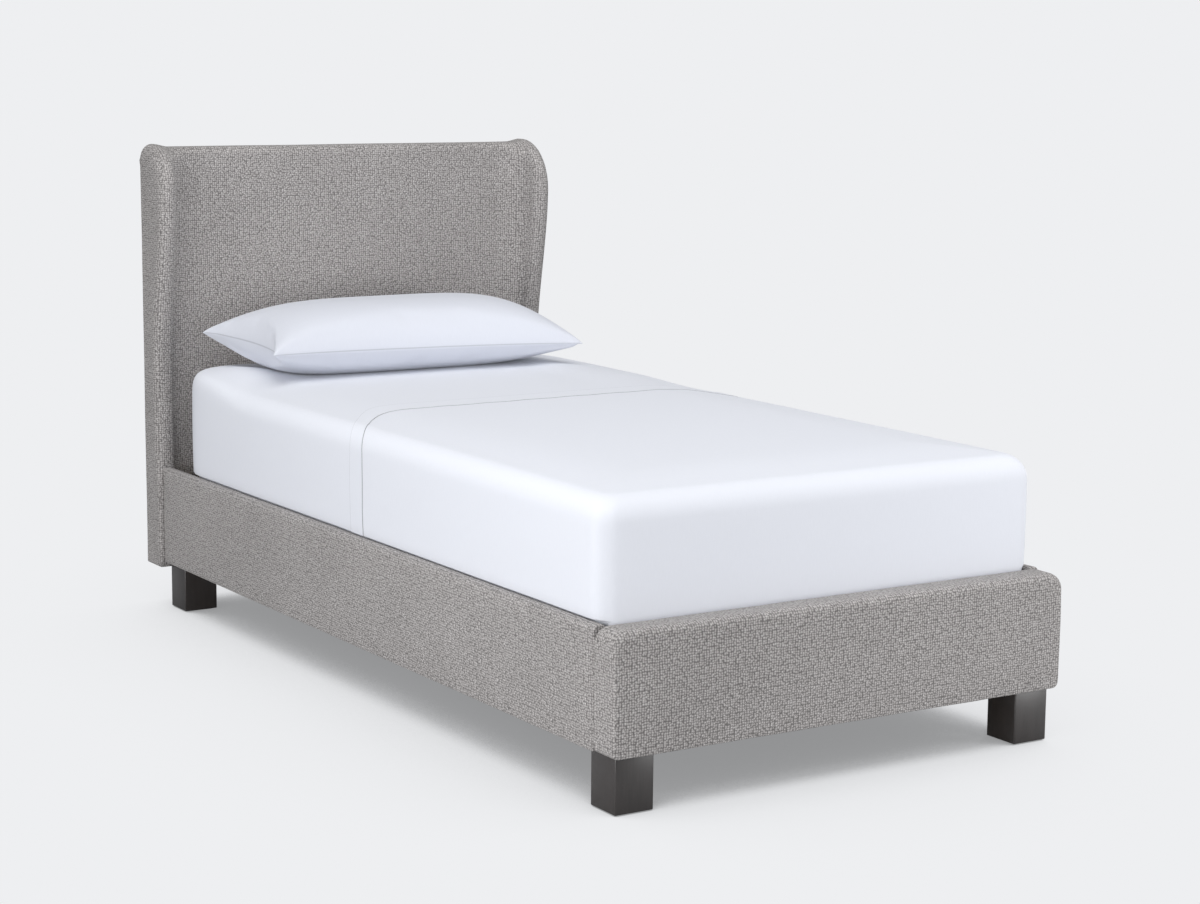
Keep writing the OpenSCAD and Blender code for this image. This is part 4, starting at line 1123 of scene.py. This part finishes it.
def bedding_levels(sizes, grow, from_z=None):
    """Height and inset of each level of the bedding's skin, from its underside, or from_z, to its crown."""
    low, top = MATTRESS_LOW.z - grow, MATTRESS_HIGH.z - sizes.crown
    low_radius, top_radius = sizes.low_radius, sizes.top_radius
    under = [(low, inset) for inset in np.linspace(sizes.fitted_return, low_radius, UNDER_LEVELS)]
    lower = [(low + (low_radius + grow) * (1 - math.cos(turn)), low_radius * (1 - math.sin(turn)))
             for turn in np.radians(np.linspace(15, 90, LOWER_LEVELS))]
    bulge_top = BULGE_START + sizes.bulge_height
    side = [(BULGE_START - drop, 0.0) for drop in BELOW_BULGE]
    side += [(BULGE_START + sizes.bulge_height * share, 0.0) for share in BULGE_LEVELS]
    side += [(z, 0.0) for z in np.linspace(bulge_top, top - top_radius, SIDE_LEVELS)[1:]]
    edge = [(top - top_radius + (top_radius + grow) * math.sin(turn), top_radius * (1 - math.cos(turn)))
            for turn in np.radians(np.linspace(0, 90, EDGE_LEVELS)[1:])]
    crown = [(top + grow + sizes.crown * math.sin(math.radians(degrees)),
              top_radius + sizes.crown_width * degrees / 90)
             for degrees in np.linspace(0, 90, CROWN_LEVELS)[1:]]
    if from_z is None:
        return under + lower + side + edge + crown
    return [(from_z, 0.0)] + [level for level in side if level[0] > from_z + LEVEL_GAP] + edge + crown


def bedding_arc(z, inset, grow, sizes, end, side):
    """Upright corner of the bedding at a level, anticlockwise: end -1 is the foot, side -1 the left."""
    half = float(mattress_half(z, sizes)) - inset + grow
    limit = MATTRESS_LOW.y + inset - grow if end < 0 else MATTRESS_HIGH.y - inset + grow
    radius = max(SMALLEST_ARC, (sizes.foot_radius if end < 0 else sizes.head_radius) - inset / 2 + grow)
    turn = np.radians(np.linspace(0, 90, ARC_STEPS + 1))
    x = side * (half - radius + radius * np.cos(turn))
    if end < 0:
        full = (sizes.bulge - SIDE_BOW) * ease((z - RAIL_TOP + BULGE_RAMP) / BULGE_RAMP)
        short = max(0.0, full - float(mattress_half(z, sizes)) + MATTRESS_HIGH.x - sizes.bulge)
        x += side * short * rise(np.degrees(turn), *FILLED_TURN)
    y = limit - end * radius + end * radius * np.sin(turn)
    arc = np.column_stack([x, y, np.full(ARC_STEPS + 1, z)])
    return arc if end == side else arc[::-1]


def closed_ring(z, inset, grow, sizes):
    """Whole outline of the bedding at a level, anticlockwise from the left side's foot corner."""
    corners = (-1, -1), (-1, 1), (1, 1), (1, -1)
    arcs = [bedding_arc(z, inset, grow, sizes, end, side) for end, side in corners]
    return join_arcs(arcs, ACROSS_STEPS, ALONG_STEPS)


def to_spine(ring, steps, low_y, high_y):
    """Rings from this one inwards to the line x = 0 between low_y and high_y."""
    spine = np.column_stack([np.zeros(len(ring)), np.clip(ring[:, 1], low_y, high_y), ring[:, 2]])
    return [spine + (ring - spine) * share for share in np.linspace(1, 0, steps + 1)[1:]]


def plump_head(points, sizes):
    """Squares the top edge at the head end and raises its rim beside and behind the pillow."""
    x, y, z = points[..., 0], points[..., 1], points[..., 2]
    radius = sizes.top_radius
    risen = np.clip((z - MATTRESS_HIGH.z + sizes.crown + radius) / radius, 0, 1)
    squarer = (1 - (1 - risen**2) ** (EDGE_FULLNESS / 2)) ** (1 / EDGE_FULLNESS)
    around = 1 - (1 - rise(np.abs(x), *BESIDE_PILLOW)) * (1 - rise(y, *BEHIND_PILLOW))
    to_right = ease(0.5 + x / LEFT_TO_RIGHT)
    left = (radius * (squarer - risen) + sizes.head_rise * around) * rise(y, *LEFT_HEAD)
    right = sizes.right_rise * around * rise(y, *RIGHT_HEAD)
    points[..., 2] += (left + (right - left) * to_right) * rise(z, *UPPER_PART)


def bedding_points(sizes, grow, with_bottom=False):
    """Rings of the bedding's skin, from the edge under the mattress to the middle of the top."""
    rings = [closed_ring(z, inset, grow, sizes) for z, inset in bedding_levels(sizes, grow)]
    spine_low, spine_high = MATTRESS_LOW.y + SPINE_END, MATTRESS_HIGH.y - SPINE_END
    rings += to_spine(rings[-1], TOP_RINGS, spine_low, spine_high)
    if with_bottom:
        rings = to_spine(rings[0], BOTTOM_RINGS, spine_low, spine_high)[::-1] + rings
    points = np.array(rings)
    plump_head(points, sizes)
    return np.concatenate([points, points[:, :1]], axis=1)


def soft_creases(points, facing):
    """Small rises of the fitted sheet: upright creases on the sides and long ones on the top."""
    x, y, z = points.T
    side_height, top_height = 0.0007, 0.0011
    side_waves, top_waves = 95, 55    # radians to a metre
    side = np.clip(np.abs(facing[:, 0]), 0, 1) ** 2
    top = np.clip(facing[:, 2], 0, 1) ** 2
    above_rails = np.clip((z - RAIL_CREASE) / 0.1, 0, 1)
    upright = np.sin(y * side_waves + 2.5 * np.sin(z * 9)) * bell(y, 0.33, 0.16) * above_rails
    right_of, along = (x - 0.28) / 0.13, (y - 0.42) / 0.16
    lengthwise = np.sin((x - 0.12 * y) * top_waves) * np.exp(-right_of**2 - along**2)
    broad = unevenness(points, (0.16, 2.0, 0.0008))
    return side_height * side * upright + top_height * top * lengthwise + broad


def add_tape(ring, material):
    """Piped tape along a closed ring of points."""
    curve = bpy.data.curves.new("tape", "CURVE")
    curve.dimensions = "3D"
    curve.bevel_depth = PIPING
    curve.bevel_resolution = 2
    line = curve.splines.new("POLY")
    line.points.add(len(ring) - 1)
    places = np.column_stack([ring, np.ones(len(ring))])
    line.points.foreach_set("co", places.astype(np.float32).ravel())
    line.use_cyclic_u = True
    tape = bpy.data.objects.new("tape", curve)
    bpy.context.scene.collection.objects.link(tape)
    select_only(tape)
    bpy.ops.object.convert(target="MESH")
    tape = bpy.context.object
    dress(tape, material)
    return tape


class BED_OT_mattress(bpy.types.Operator):
    """Mattress with quilted ticking and piped edges"""

    bl_idname = "bed.mattress"
    bl_label = "Mattress"

    def execute(self, context):
        sizes = context.scene.bed_bedding
        body = add_grid("quilted_mattress", bedding_points(sizes, -PIPING, with_bottom=True))
        edit_all(body, merge_doubles, turn_outwards)
        swell(body, 0.06, 21.0, 0.0015)
        ticking = ticking_material(context.scene.bed_colours)
        dress(body, ticking)
        low, high = MATTRESS_LOW.z + LOW_TAPE[0], MATTRESS_HIGH.z - sizes.crown - HIGH_TAPE[0]
        tapes = [add_tape(closed_ring(z, inset, -PIPING, sizes), ticking)
                 for z, inset in ((low, LOW_TAPE[1]), (high, HIGH_TAPE[1]))]
        select_only(body, *tapes)
        bpy.ops.object.join()
        smooth(body, 50)
        lay_weave(body)
        finish_piece(body, "mattress", ["mattress"])
        return {"FINISHED"}


def sheet_line(arc, level, drop, start, end):
    """Place along the bed of a line across the flat sheet, arc metres from the bed's middle."""
    return level - drop * ease((arc - start) / (end - start))


def flat_sheet_rows(sizes):
    """Rows of the flat sheet from its tucked sides to the middle of the bed.

    Each point comes with its share of the way from the sheet's edge to the hem's stitching, and with
    its distance over the cloth from the bed's middle."""
    grow = sizes.flat_gap
    levels = bedding_levels(sizes, grow, SLAT_TOP + sizes.low_radius + TUCK_HEIGHT)
    profile = np.array([(float(mattress_half(z, sizes)) - inset + grow, z) for z, inset in levels])
    steps = np.hypot(*np.diff(profile, axis=0).T)
    arc = profile[-1, 0] + np.concatenate([np.cumsum(steps[::-1])[::-1], [0]])
    stitch_y, stitch_drop = sizes.edge_y - sizes.hem, sizes.edge_drop - sizes.hem + sizes.side_hem
    rows, shares = [], []
    for (z, inset), s in zip(levels, arc):
        edge = sheet_line(s, sizes.edge_y, sizes.edge_drop, *EDGE_TURN)
        stitch = sheet_line(s, stitch_y, stitch_drop, *STITCH_TURN)
        foot_left, foot_right = (bedding_arc(z, inset, grow, sizes, -1, side) for side in (-1, 1))
        x = foot_right[-1][0]
        near_edge = edge - (edge - stitch) * np.array(HEM_SHARES)
        rest = np.linspace(near_edge[-1], foot_left[0][1], BODY_ROWS)[1:-1]
        side_y = np.concatenate([near_edge, rest])
        left = np.column_stack([np.full(len(side_y), -x), side_y, np.full(len(side_y), z)])
        right = left[::-1] * (-1, 1, 1)
        across = between(foot_left[-1], foot_right[0], FOOT_STEPS)
        rows.append(np.concatenate([left, foot_left, across, foot_right, right]))
        share = (edge - side_y) / (edge - stitch)
        inner = np.full(len(foot_left) * 2 + len(across), share[-1])
        shares.append(np.concatenate([share, inner, share[::-1]]))
    inner_rows = to_spine(rows[-1], SHEET_RINGS, MATTRESS_LOW.y + SPINE_END, 1.0)
    arcs = np.concatenate([arc, arc[-1] * np.linspace(1, 0, len(inner_rows) + 1)[1:]])
    shares += [shares[-1]] * len(inner_rows)
    return np.array(rows + inner_rows), np.array(shares), np.repeat(arcs[:, None], len(shares[0]), 1)


class BED_OT_fitted_sheet(bpy.types.Operator):
    """Fitted sheet drawn over the mattress, with its edge turned under"""

    bl_idname = "bed.fitted_sheet"
    bl_label = "Fitted Sheet"

    def execute(self, context):
        sizes = context.scene.bed_bedding
        linen, _ = linen_material("Percale", context.scene.bed_colours.linen)
        sheet = add_grid("fitted_bed_sheet", bedding_points(sizes, sizes.fitted_gap))
        edit_all(sheet, merge_doubles, turn_outwards)
        points, facing = coordinates(sheet), normals(sheet)
        push_out(sheet, points, facing, soft_creases(points, facing) - FITTED_SINK)
        thicken(sheet, sizes.cloth)
        dress(sheet, linen)
        smooth(sheet, 60)
        lay_weave(sheet)
        finish_piece(sheet, "mattress", ["fitted_sheet"])
        return {"FINISHED"}


class BED_OT_flat_sheet(bpy.types.Operator):
    """Flat sheet laid over the lower bed and tucked in, with its stitched hem across the bed"""

    bl_idname = "bed.flat_sheet"
    bl_label = "Flat Sheet"

    def execute(self, context):
        sizes = context.scene.bed_bedding
        rows, shares, arcs = flat_sheet_rows(sizes)
        sheet = add_grid("flat_bed_sheet", rows)
        share = shares.ravel()
        corners = corner_vertices(sheet.data)
        lay_map(sheet.data, "hem", share[corners], arcs.ravel()[corners])
        facing = normals(sheet)
        if facing[len(facing) // 2, 2] < 0:
            edit_all(sheet, bpy.ops.mesh.flip_normals)
            facing = normals(sheet)
        points = coordinates(sheet)
        groove, groove_width, ripple, ripple_width = 0.0005, 0.012, 0.0004, 0.5
        hem = sizes.hem_lift * (1 - rise(share, *HEM_FOLD)) - groove * bell(share, 1.0, groove_width)
        run = np.sin(points[:, 0] * 60 + points[:, 2] * 50)
        wave = ripple * run * bell(share, 1.0, ripple_width)
        push_out(sheet, points, facing, hem + wave + unevenness(points, (0.2, 6.0, 0.0005)))
        edit_all(sheet, merge_doubles)
        thicken(sheet, sizes.cloth)
        linen = hem_material(context.scene.bed_colours.linen, sizes.hem)
        dress(sheet, linen)
        smooth(sheet, 60)
        lay_weave(sheet)
        finish_piece(sheet, "mattress", ["flat_sheet"])
        return {"FINISHED"}


# Pillow

PILLOW_COLUMNS = 112
PILLOW_ROWS = 50
EVEN_SHARE, CROWDED_SHARE = 0.45, 0.55    # how far rows are spaced evenly, and crowded at the ends
END_POWER, SIDE_POWER = 3.9, 2.1    # the higher, the flatter the pillow's middle
UPPER_FULLNESS = 0.52, 0.5    # the lower, the fuller the pillow stands at its ends and long sides
LOWER_FULLNESS = 0.46, 0.8
PRESSED_SHARE = 1.06    # depth of the underside before the bed flattens it, over the seam's height
PRESSURE = 2.5    # of the stuffing on the case as it settles
SETTLE_FRAMES = 16
CASE_THICKNESS = 0.0005


def spaced(count):
    """Values from -1 to 1 that lie closer together towards both ends."""
    even = np.linspace(-1, 1, count)
    return EVEN_SHARE * even + CROWDED_SHARE * np.sin(np.pi / 2 * even)


def pillow_full(u, v, up):
    """Fullness of the pillow's upper or lower half at u along and v across, both from -1 to 1."""
    ends, sides = UPPER_FULLNESS if up else LOWER_FULLNESS
    return (1 - abs(u) ** END_POWER) ** ends * (1 - abs(v) ** SIDE_POWER) ** sides


def pillow_points(sizes):
    """Rings round the pillow's drawn form, from its left end to its right end, and where its seam runs."""
    centre_y = (PILLOW_LOW.y + PILLOW_HIGH.y) / 2
    half_long = (PILLOW_HIGH.x - PILLOW_LOW.x) / 2
    half_deep = (PILLOW_HIGH.y - PILLOW_LOW.y) / 2
    upper = PILLOW_HIGH.z - PILLOW_LOW.z - sizes.seam_height - sizes.reach
    around = spaced(PILLOW_ROWS)
    skin = [(v, True) for v in around] + [(v, False) for v in around[-2::-1]]
    rings = []
    for u in spaced(PILLOW_COLUMNS):
        ring = []
        for v, up in skin:
            x = u * (half_long - sizes.end_draw * (1 - v * v) * u * u)
            y = v * (half_deep - sizes.side_draw * (1 - u * u) * v * v)
            level = sizes.tilt * v - sizes.lean * u
            seam = PILLOW_LOW.z + sizes.seam_height + level / 2 * (1 - pillow_full(u, v, True))
            full = pillow_full(u, v, up)
            sunk = seam - sizes.seam_height * PRESSED_SHARE * full
            z = seam + upper * full if up else max(PILLOW_LOW.z, sunk)
            ring.append((x - sizes.shift, centre_y + y, z))
        rings.append(ring)
    seam = np.zeros((PILLOW_COLUMNS, len(skin)))
    seam[:, [0, PILLOW_ROWS - 1, -1]] = 1
    seam[[0, -1]] = 1
    return np.array(rings), seam


def settle_cloth(piece, slack, reach):
    """Lets the slack cloth settle under the stuffing's pressure. No point moves further than reach."""
    start = coordinates(piece)
    select_only(piece)
    cloth = piece.modifiers.new("Settle", "CLOTH")
    cloth.settings.quality = 8
    cloth.settings.mass = 0.2
    cloth.settings.tension_stiffness = 40
    cloth.settings.compression_stiffness = 40
    cloth.settings.shear_stiffness = 10
    cloth.settings.bending_stiffness = 0.05
    cloth.settings.shrink_min = -slack
    cloth.settings.use_pressure = True
    cloth.settings.uniform_pressure_force = PRESSURE
    cloth.settings.effector_weights.gravity = 0
    cloth.collision_settings.use_collision = False
    scene = bpy.context.scene
    for step in range(1, SETTLE_FRAMES + 1):
        scene.frame_set(step)
    settled = piece.evaluated_get(bpy.context.evaluated_depsgraph_get())
    moved = coordinates(settled) - start
    far = np.linalg.norm(moved, axis=1, keepdims=True)
    piece.modifiers.remove(cloth)
    scene.frame_set(1)
    return start + moved * np.minimum(1, reach / np.maximum(far, TINY))


class BED_OT_pillow(bpy.types.Operator):
    """Plump pillow in its case, inflated as cloth from its drawn form"""

    bl_idname = "bed.pillow"
    bl_label = "Pillow and Case"

    def execute(self, context):
        sizes = context.scene.bed_pillow
        rings, seam = pillow_points(sizes)
        case = add_grid("pillow_case", rings)
        mark = case.data.attributes.new("seam", "FLOAT", "POINT")
        mark.data.foreach_set("value", seam.astype(np.float32).ravel())
        edit_all(case, merge_doubles, turn_outwards)
        set_coordinates(case, settle_cloth(case, sizes.slack, sizes.reach))
        stands = read_values(case.data.attributes["seam"].data, "value")
        points = coordinates(case) + normals(case) * (stands * sizes.lip)[:, None]
        points[:, 2] = np.maximum(points[:, 2], PILLOW_LOW.z)
        set_coordinates(case, points)
        pillow = link_copy(case, "stuffed_pillow")
        set_coordinates(pillow, coordinates(pillow) - normals(pillow) * sizes.case_gap)
        # The case's percale is a darker copy of the sheets', as painted shade
        linen, made = linen_material("Pillowcase percale", context.scene.bed_colours.pillowcase, crease=1.0)
        beside_seam = 0.82
        # Painted shade: a thin dark line along the case's seams
        line = made.add("Attribute", attribute_name="seam").outputs["Fac"]
        line = made.spread(line, beside_seam, 1.0)
        made.darken(made.spread(line, 0.0, 1.0, 1.0, sizes.painted_seam_shade))
        dress(case, linen)
        dress(pillow, ticking_material(context.scene.bed_colours))
        for piece in (case, pillow):
            apply_modifier(piece, "SUBSURF", levels=1, render_levels=1)
        thicken(case, CASE_THICKNESS)
        for piece in (case, pillow):
            smooth(piece, 70)
            lay_weave(piece)
        finish_piece(case, "pillow", ["pillowcase"])
        finish_piece(pillow, "pillow", ["pillow"])
        return {"FINISHED"}


# Inner frame and stage

class BED_OT_timber_and_steel(bpy.types.Operator):
    """Finishes of the CAD pieces that stay: timber, plywood, steel and plastic"""

    bl_idname = "bed.timber_and_steel"
    bl_label = "Timber and Steel Finishes"

    def execute(self, context):
        pine, pine_dark = (0.66, 0.50, 0.30), (0.45, 0.30, 0.155)
        birch, birch_dark = (0.72, 0.59, 0.40), (0.56, 0.42, 0.25)
        across = timber_material("Pine across the bed", (0.08, 1.0, 1.0), pine, pine_dark)
        along = timber_material("Pine along the bed", (1.0, 0.08, 1.0), pine, pine_dark)
        upright = timber_material("Pine upright", (1.0, 1.0, 0.08), pine, pine_dark)
        plywood = timber_material("Birch plywood", (0.15, 1.0, 1.0), birch, birch_dark)
        zinc, plastic = zinc_material(), plastic_material()
        finishes = {
            across: ["headboard_top_rail", "headboard_base_rail", "footboard_top_board",
                     "footboard_bottom_board", "leg_blocks"] + ["slat_%02d" % i for i in range(1, 12)],
            along: ["left_rail_board", "right_rail_board", "left_slat_ledger", "right_slat_ledger",
                    "centre_beam"],
            upright: ["headboard_left_post", "headboard_right_post", "left_wing_board", "right_wing_board",
                      "footboard_end_blocks", "centre_leg"],
            plywood: ["headboard_plywood", "footboard_front_board", "footboard_back_board"],
            zinc: ["rail_brackets", "bracket_bolts", "leg_plates", "leg_bolts", "slat_screws",
                   "beam_hangers"],
            plastic: ["leg_glides", "centre_foot"],
        }
        for material, names in finishes.items():
            for name in names:
                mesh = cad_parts[name].data
                mesh.materials.clear()
                mesh.materials.append(material)
        return {"FINISHED"}


def add_softbox(name, place, aim, width, height, watts):
    """Rectangular studio light that looks at aim."""
    light = bpy.data.lights.new(name, "AREA")
    light.shape = "RECTANGLE"
    light.size, light.size_y = width, height
    light.energy = watts
    lamp = bpy.data.objects.new(name, light)
    bpy.context.scene.collection.objects.link(lamp)
    lamp.location = place
    lamp.visible_camera = False
    lamp.rotation_euler = (Vector(aim) - Vector(place)).to_track_quat("-Z", "Y").to_euler()


# How open the floor lies to the sky, and how bright the camera then sees it: the bed's painted shadow
PAINTED_SHADOW_LEVELS = (0.0, 0.32), (0.25, 0.395), (0.42, 0.765), (0.66, 0.955), (0.88, 1.0)
LIT_FLOOR_SHARE = 0.5    # share of the backdrop's shade with which the floor lights the bed
FLOOR_RADIUS = 40
SKY_COLOUR = 0.96, 0.975, 1.0
CAMERA_PLACE = -2.8315, -4.6424, 1.3375
CAMERA_YAW, CAMERA_PITCH, CAMERA_ROLL = 32.318, -9.134, 0.522    # degrees
SENSOR_WIDTH = 36
FAR_LIMIT = 200    # metres that the camera sees


def backdrop_material(shade, shadow_reach):
    """Matt floor that the camera sees as plain backdrop, with the bed's soft shadow painted on it."""
    made = Shader("Studio floor")
    open_sky = made.add("AmbientOcclusion", {"Distance": shadow_reach}, samples=16).outputs["AO"]
    # Painted shadow: the backdrop darkens where the bed closes the floor off from the sky
    light = made.ramp(open_sky, *((openness, (level, level, level)) for openness, level in PAINTED_SHADOW_LEVELS))
    seen = made.add("Emission", {"Color": made.multiplied(shade, light), "Strength": 1.0})
    made.finish(tinted(shade, LIT_FLOOR_SHARE), roughness=0.9, Specular_IOR_Level=0.0)
    camera_ray = made.add("LightPath").outputs["Is Camera Ray"]
    mixed = made.add("MixShader", {0: camera_ray, 1: made.surface.outputs["BSDF"],
                                   2: seen.outputs["Emission"]})
    output = made.tree.nodes["Material Output"]
    made.tree.links.new(mixed.outputs["Shader"], output.inputs["Surface"])
    return made.material


class BED_OT_stage(bpy.types.Operator):
    """Pale studio floor, soft lights and the camera"""

    bl_idname = "bed.stage"
    bl_label = "Stage"

    def execute(self, context):
        scene, stage = context.scene, context.scene.bed_stage
        shade = scene.bed_colours.backdrop
        bpy.ops.object.select_all(action="DESELECT")
        bpy.ops.mesh.primitive_circle_add(vertices=96, radius=FLOOR_RADIUS, fill_type="NGON",
                                          location=(0, 0, 0))
        floor = bpy.context.object
        floor.name = "studio_floor"
        dress(floor, backdrop_material(shade, stage.shadow_reach))
        self.add_world(scene, shade, stage.fill)
        add_softbox("side_light", (-4.5, -1.0, 1.05), (0, -0.3, 0.4), 2.0, 2.0, stage.side_power)
        add_softbox("near_light", (-4.0, -2.6, 0.85), (0, -0.6, 0.4), 1.6, 1.6, stage.near_power)
        add_softbox("foot_light", (2.2, -3.2, 0.85), (0.2, -1.0, 0.4), 1.6, 1.6, stage.foot_power)
        add_softbox("top_light", (-0.3, -0.9, 4.4), (0, -0.4, 0.3), 3.6, 4.2, stage.top_power)
        self.add_camera(scene, stage.lens)
        scene.view_settings.view_transform = "Standard"
        return {"FINISHED"}

    def add_world(self, scene, shade, strength):
        """Even light from all round, behind which the camera sees the plain backdrop."""
        world = bpy.data.worlds.new("Studio")
        world.use_nodes = True
        scene.world = world
        nodes, links = world.node_tree.nodes, world.node_tree.links
        nodes.clear()
        light = nodes.new("ShaderNodeBackground")
        light.inputs["Color"].default_value = (*SKY_COLOUR, 1.0)
        light.inputs["Strength"].default_value = strength
        plain = nodes.new("ShaderNodeBackground")
        plain.inputs["Color"].default_value = (*shade, 1.0)
        path = nodes.new("ShaderNodeLightPath")
        mixed = nodes.new("ShaderNodeMixShader")
        output = nodes.new("ShaderNodeOutputWorld")
        links.new(path.outputs["Is Camera Ray"], mixed.inputs[0])
        links.new(light.outputs[0], mixed.inputs[1])
        links.new(plain.outputs[0], mixed.inputs[2])
        links.new(mixed.outputs[0], output.inputs["Surface"])

    def add_camera(self, scene, lens):
        """Camera at the photograph's viewing angle."""
        data = bpy.data.cameras.new("photo_camera")
        data.lens = lens
        data.sensor_width = SENSOR_WIDTH
        data.clip_end = FAR_LIMIT
        camera = bpy.data.objects.new("photo_camera", data)
        scene.collection.objects.link(camera)
        yaw, pitch, roll = (math.radians(angle) for angle in (CAMERA_YAW, CAMERA_PITCH, CAMERA_ROLL))
        camera.matrix_world = (Matrix.Translation(CAMERA_PLACE) @ Matrix.Rotation(-yaw, 4, "Z")
                               @ Matrix.Rotation(math.pi / 2 + pitch, 4, "X")
                               @ Matrix.Rotation(roll, 4, "Z"))
        scene.camera = camera


class BED_PT_panel(bpy.types.Panel):
    """Buttons that build the bed, piece by piece"""

    bl_idname = "BED_PT_panel"
    bl_label = "Upholstered Bed"
    bl_space_type = "VIEW_3D"
    bl_region_type = "UI"
    bl_category = "Bed"

    def draw(self, context):
        for operator in OPERATORS:
            self.layout.operator(operator.bl_idname)


GROUPS = {"bed_headboard": HeadboardSizes, "bed_frame": FrameSizes, "bed_bedding": BeddingSizes,
          "bed_pillow": PillowSizes, "bed_colours": FinishColours, "bed_stage": StageSizes}
OPERATORS = (BED_OT_headboard, BED_OT_lining, BED_OT_rails, BED_OT_footboard, BED_OT_legs, BED_OT_mattress,
             BED_OT_fitted_sheet, BED_OT_flat_sheet, BED_OT_pillow, BED_OT_timber_and_steel, BED_OT_stage)
CLASSES = (*GROUPS.values(), *OPERATORS, BED_PT_panel)


def register():
    """Makes the operators, the panel and the sizes known to Blender."""
    for cls in CLASSES:
        bpy.utils.register_class(cls)
    for name, group in GROUPS.items():
        setattr(bpy.types.Scene, name, PointerProperty(type=group))


def unregister():
    """Takes them out again."""
    for name in GROUPS:
        delattr(bpy.types.Scene, name)
    for cls in reversed(CLASSES):
        bpy.utils.unregister_class(cls)


def main():
    """Builds the whole bed and its stage."""
    register()
    tweed_material(bpy.context.scene.bed_colours)
    bpy.ops.bed.headboard()
    bpy.ops.bed.lining()
    bpy.ops.bed.rails()
    bpy.ops.bed.footboard()
    bpy.ops.bed.legs()
    bpy.ops.bed.mattress()
    bpy.ops.bed.fitted_sheet()
    bpy.ops.bed.flat_sheet()
    bpy.ops.bed.pillow()
    bpy.ops.bed.timber_and_steel()
    bpy.ops.bed.stage()
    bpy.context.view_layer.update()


if __name__ == "__main__":
    main()
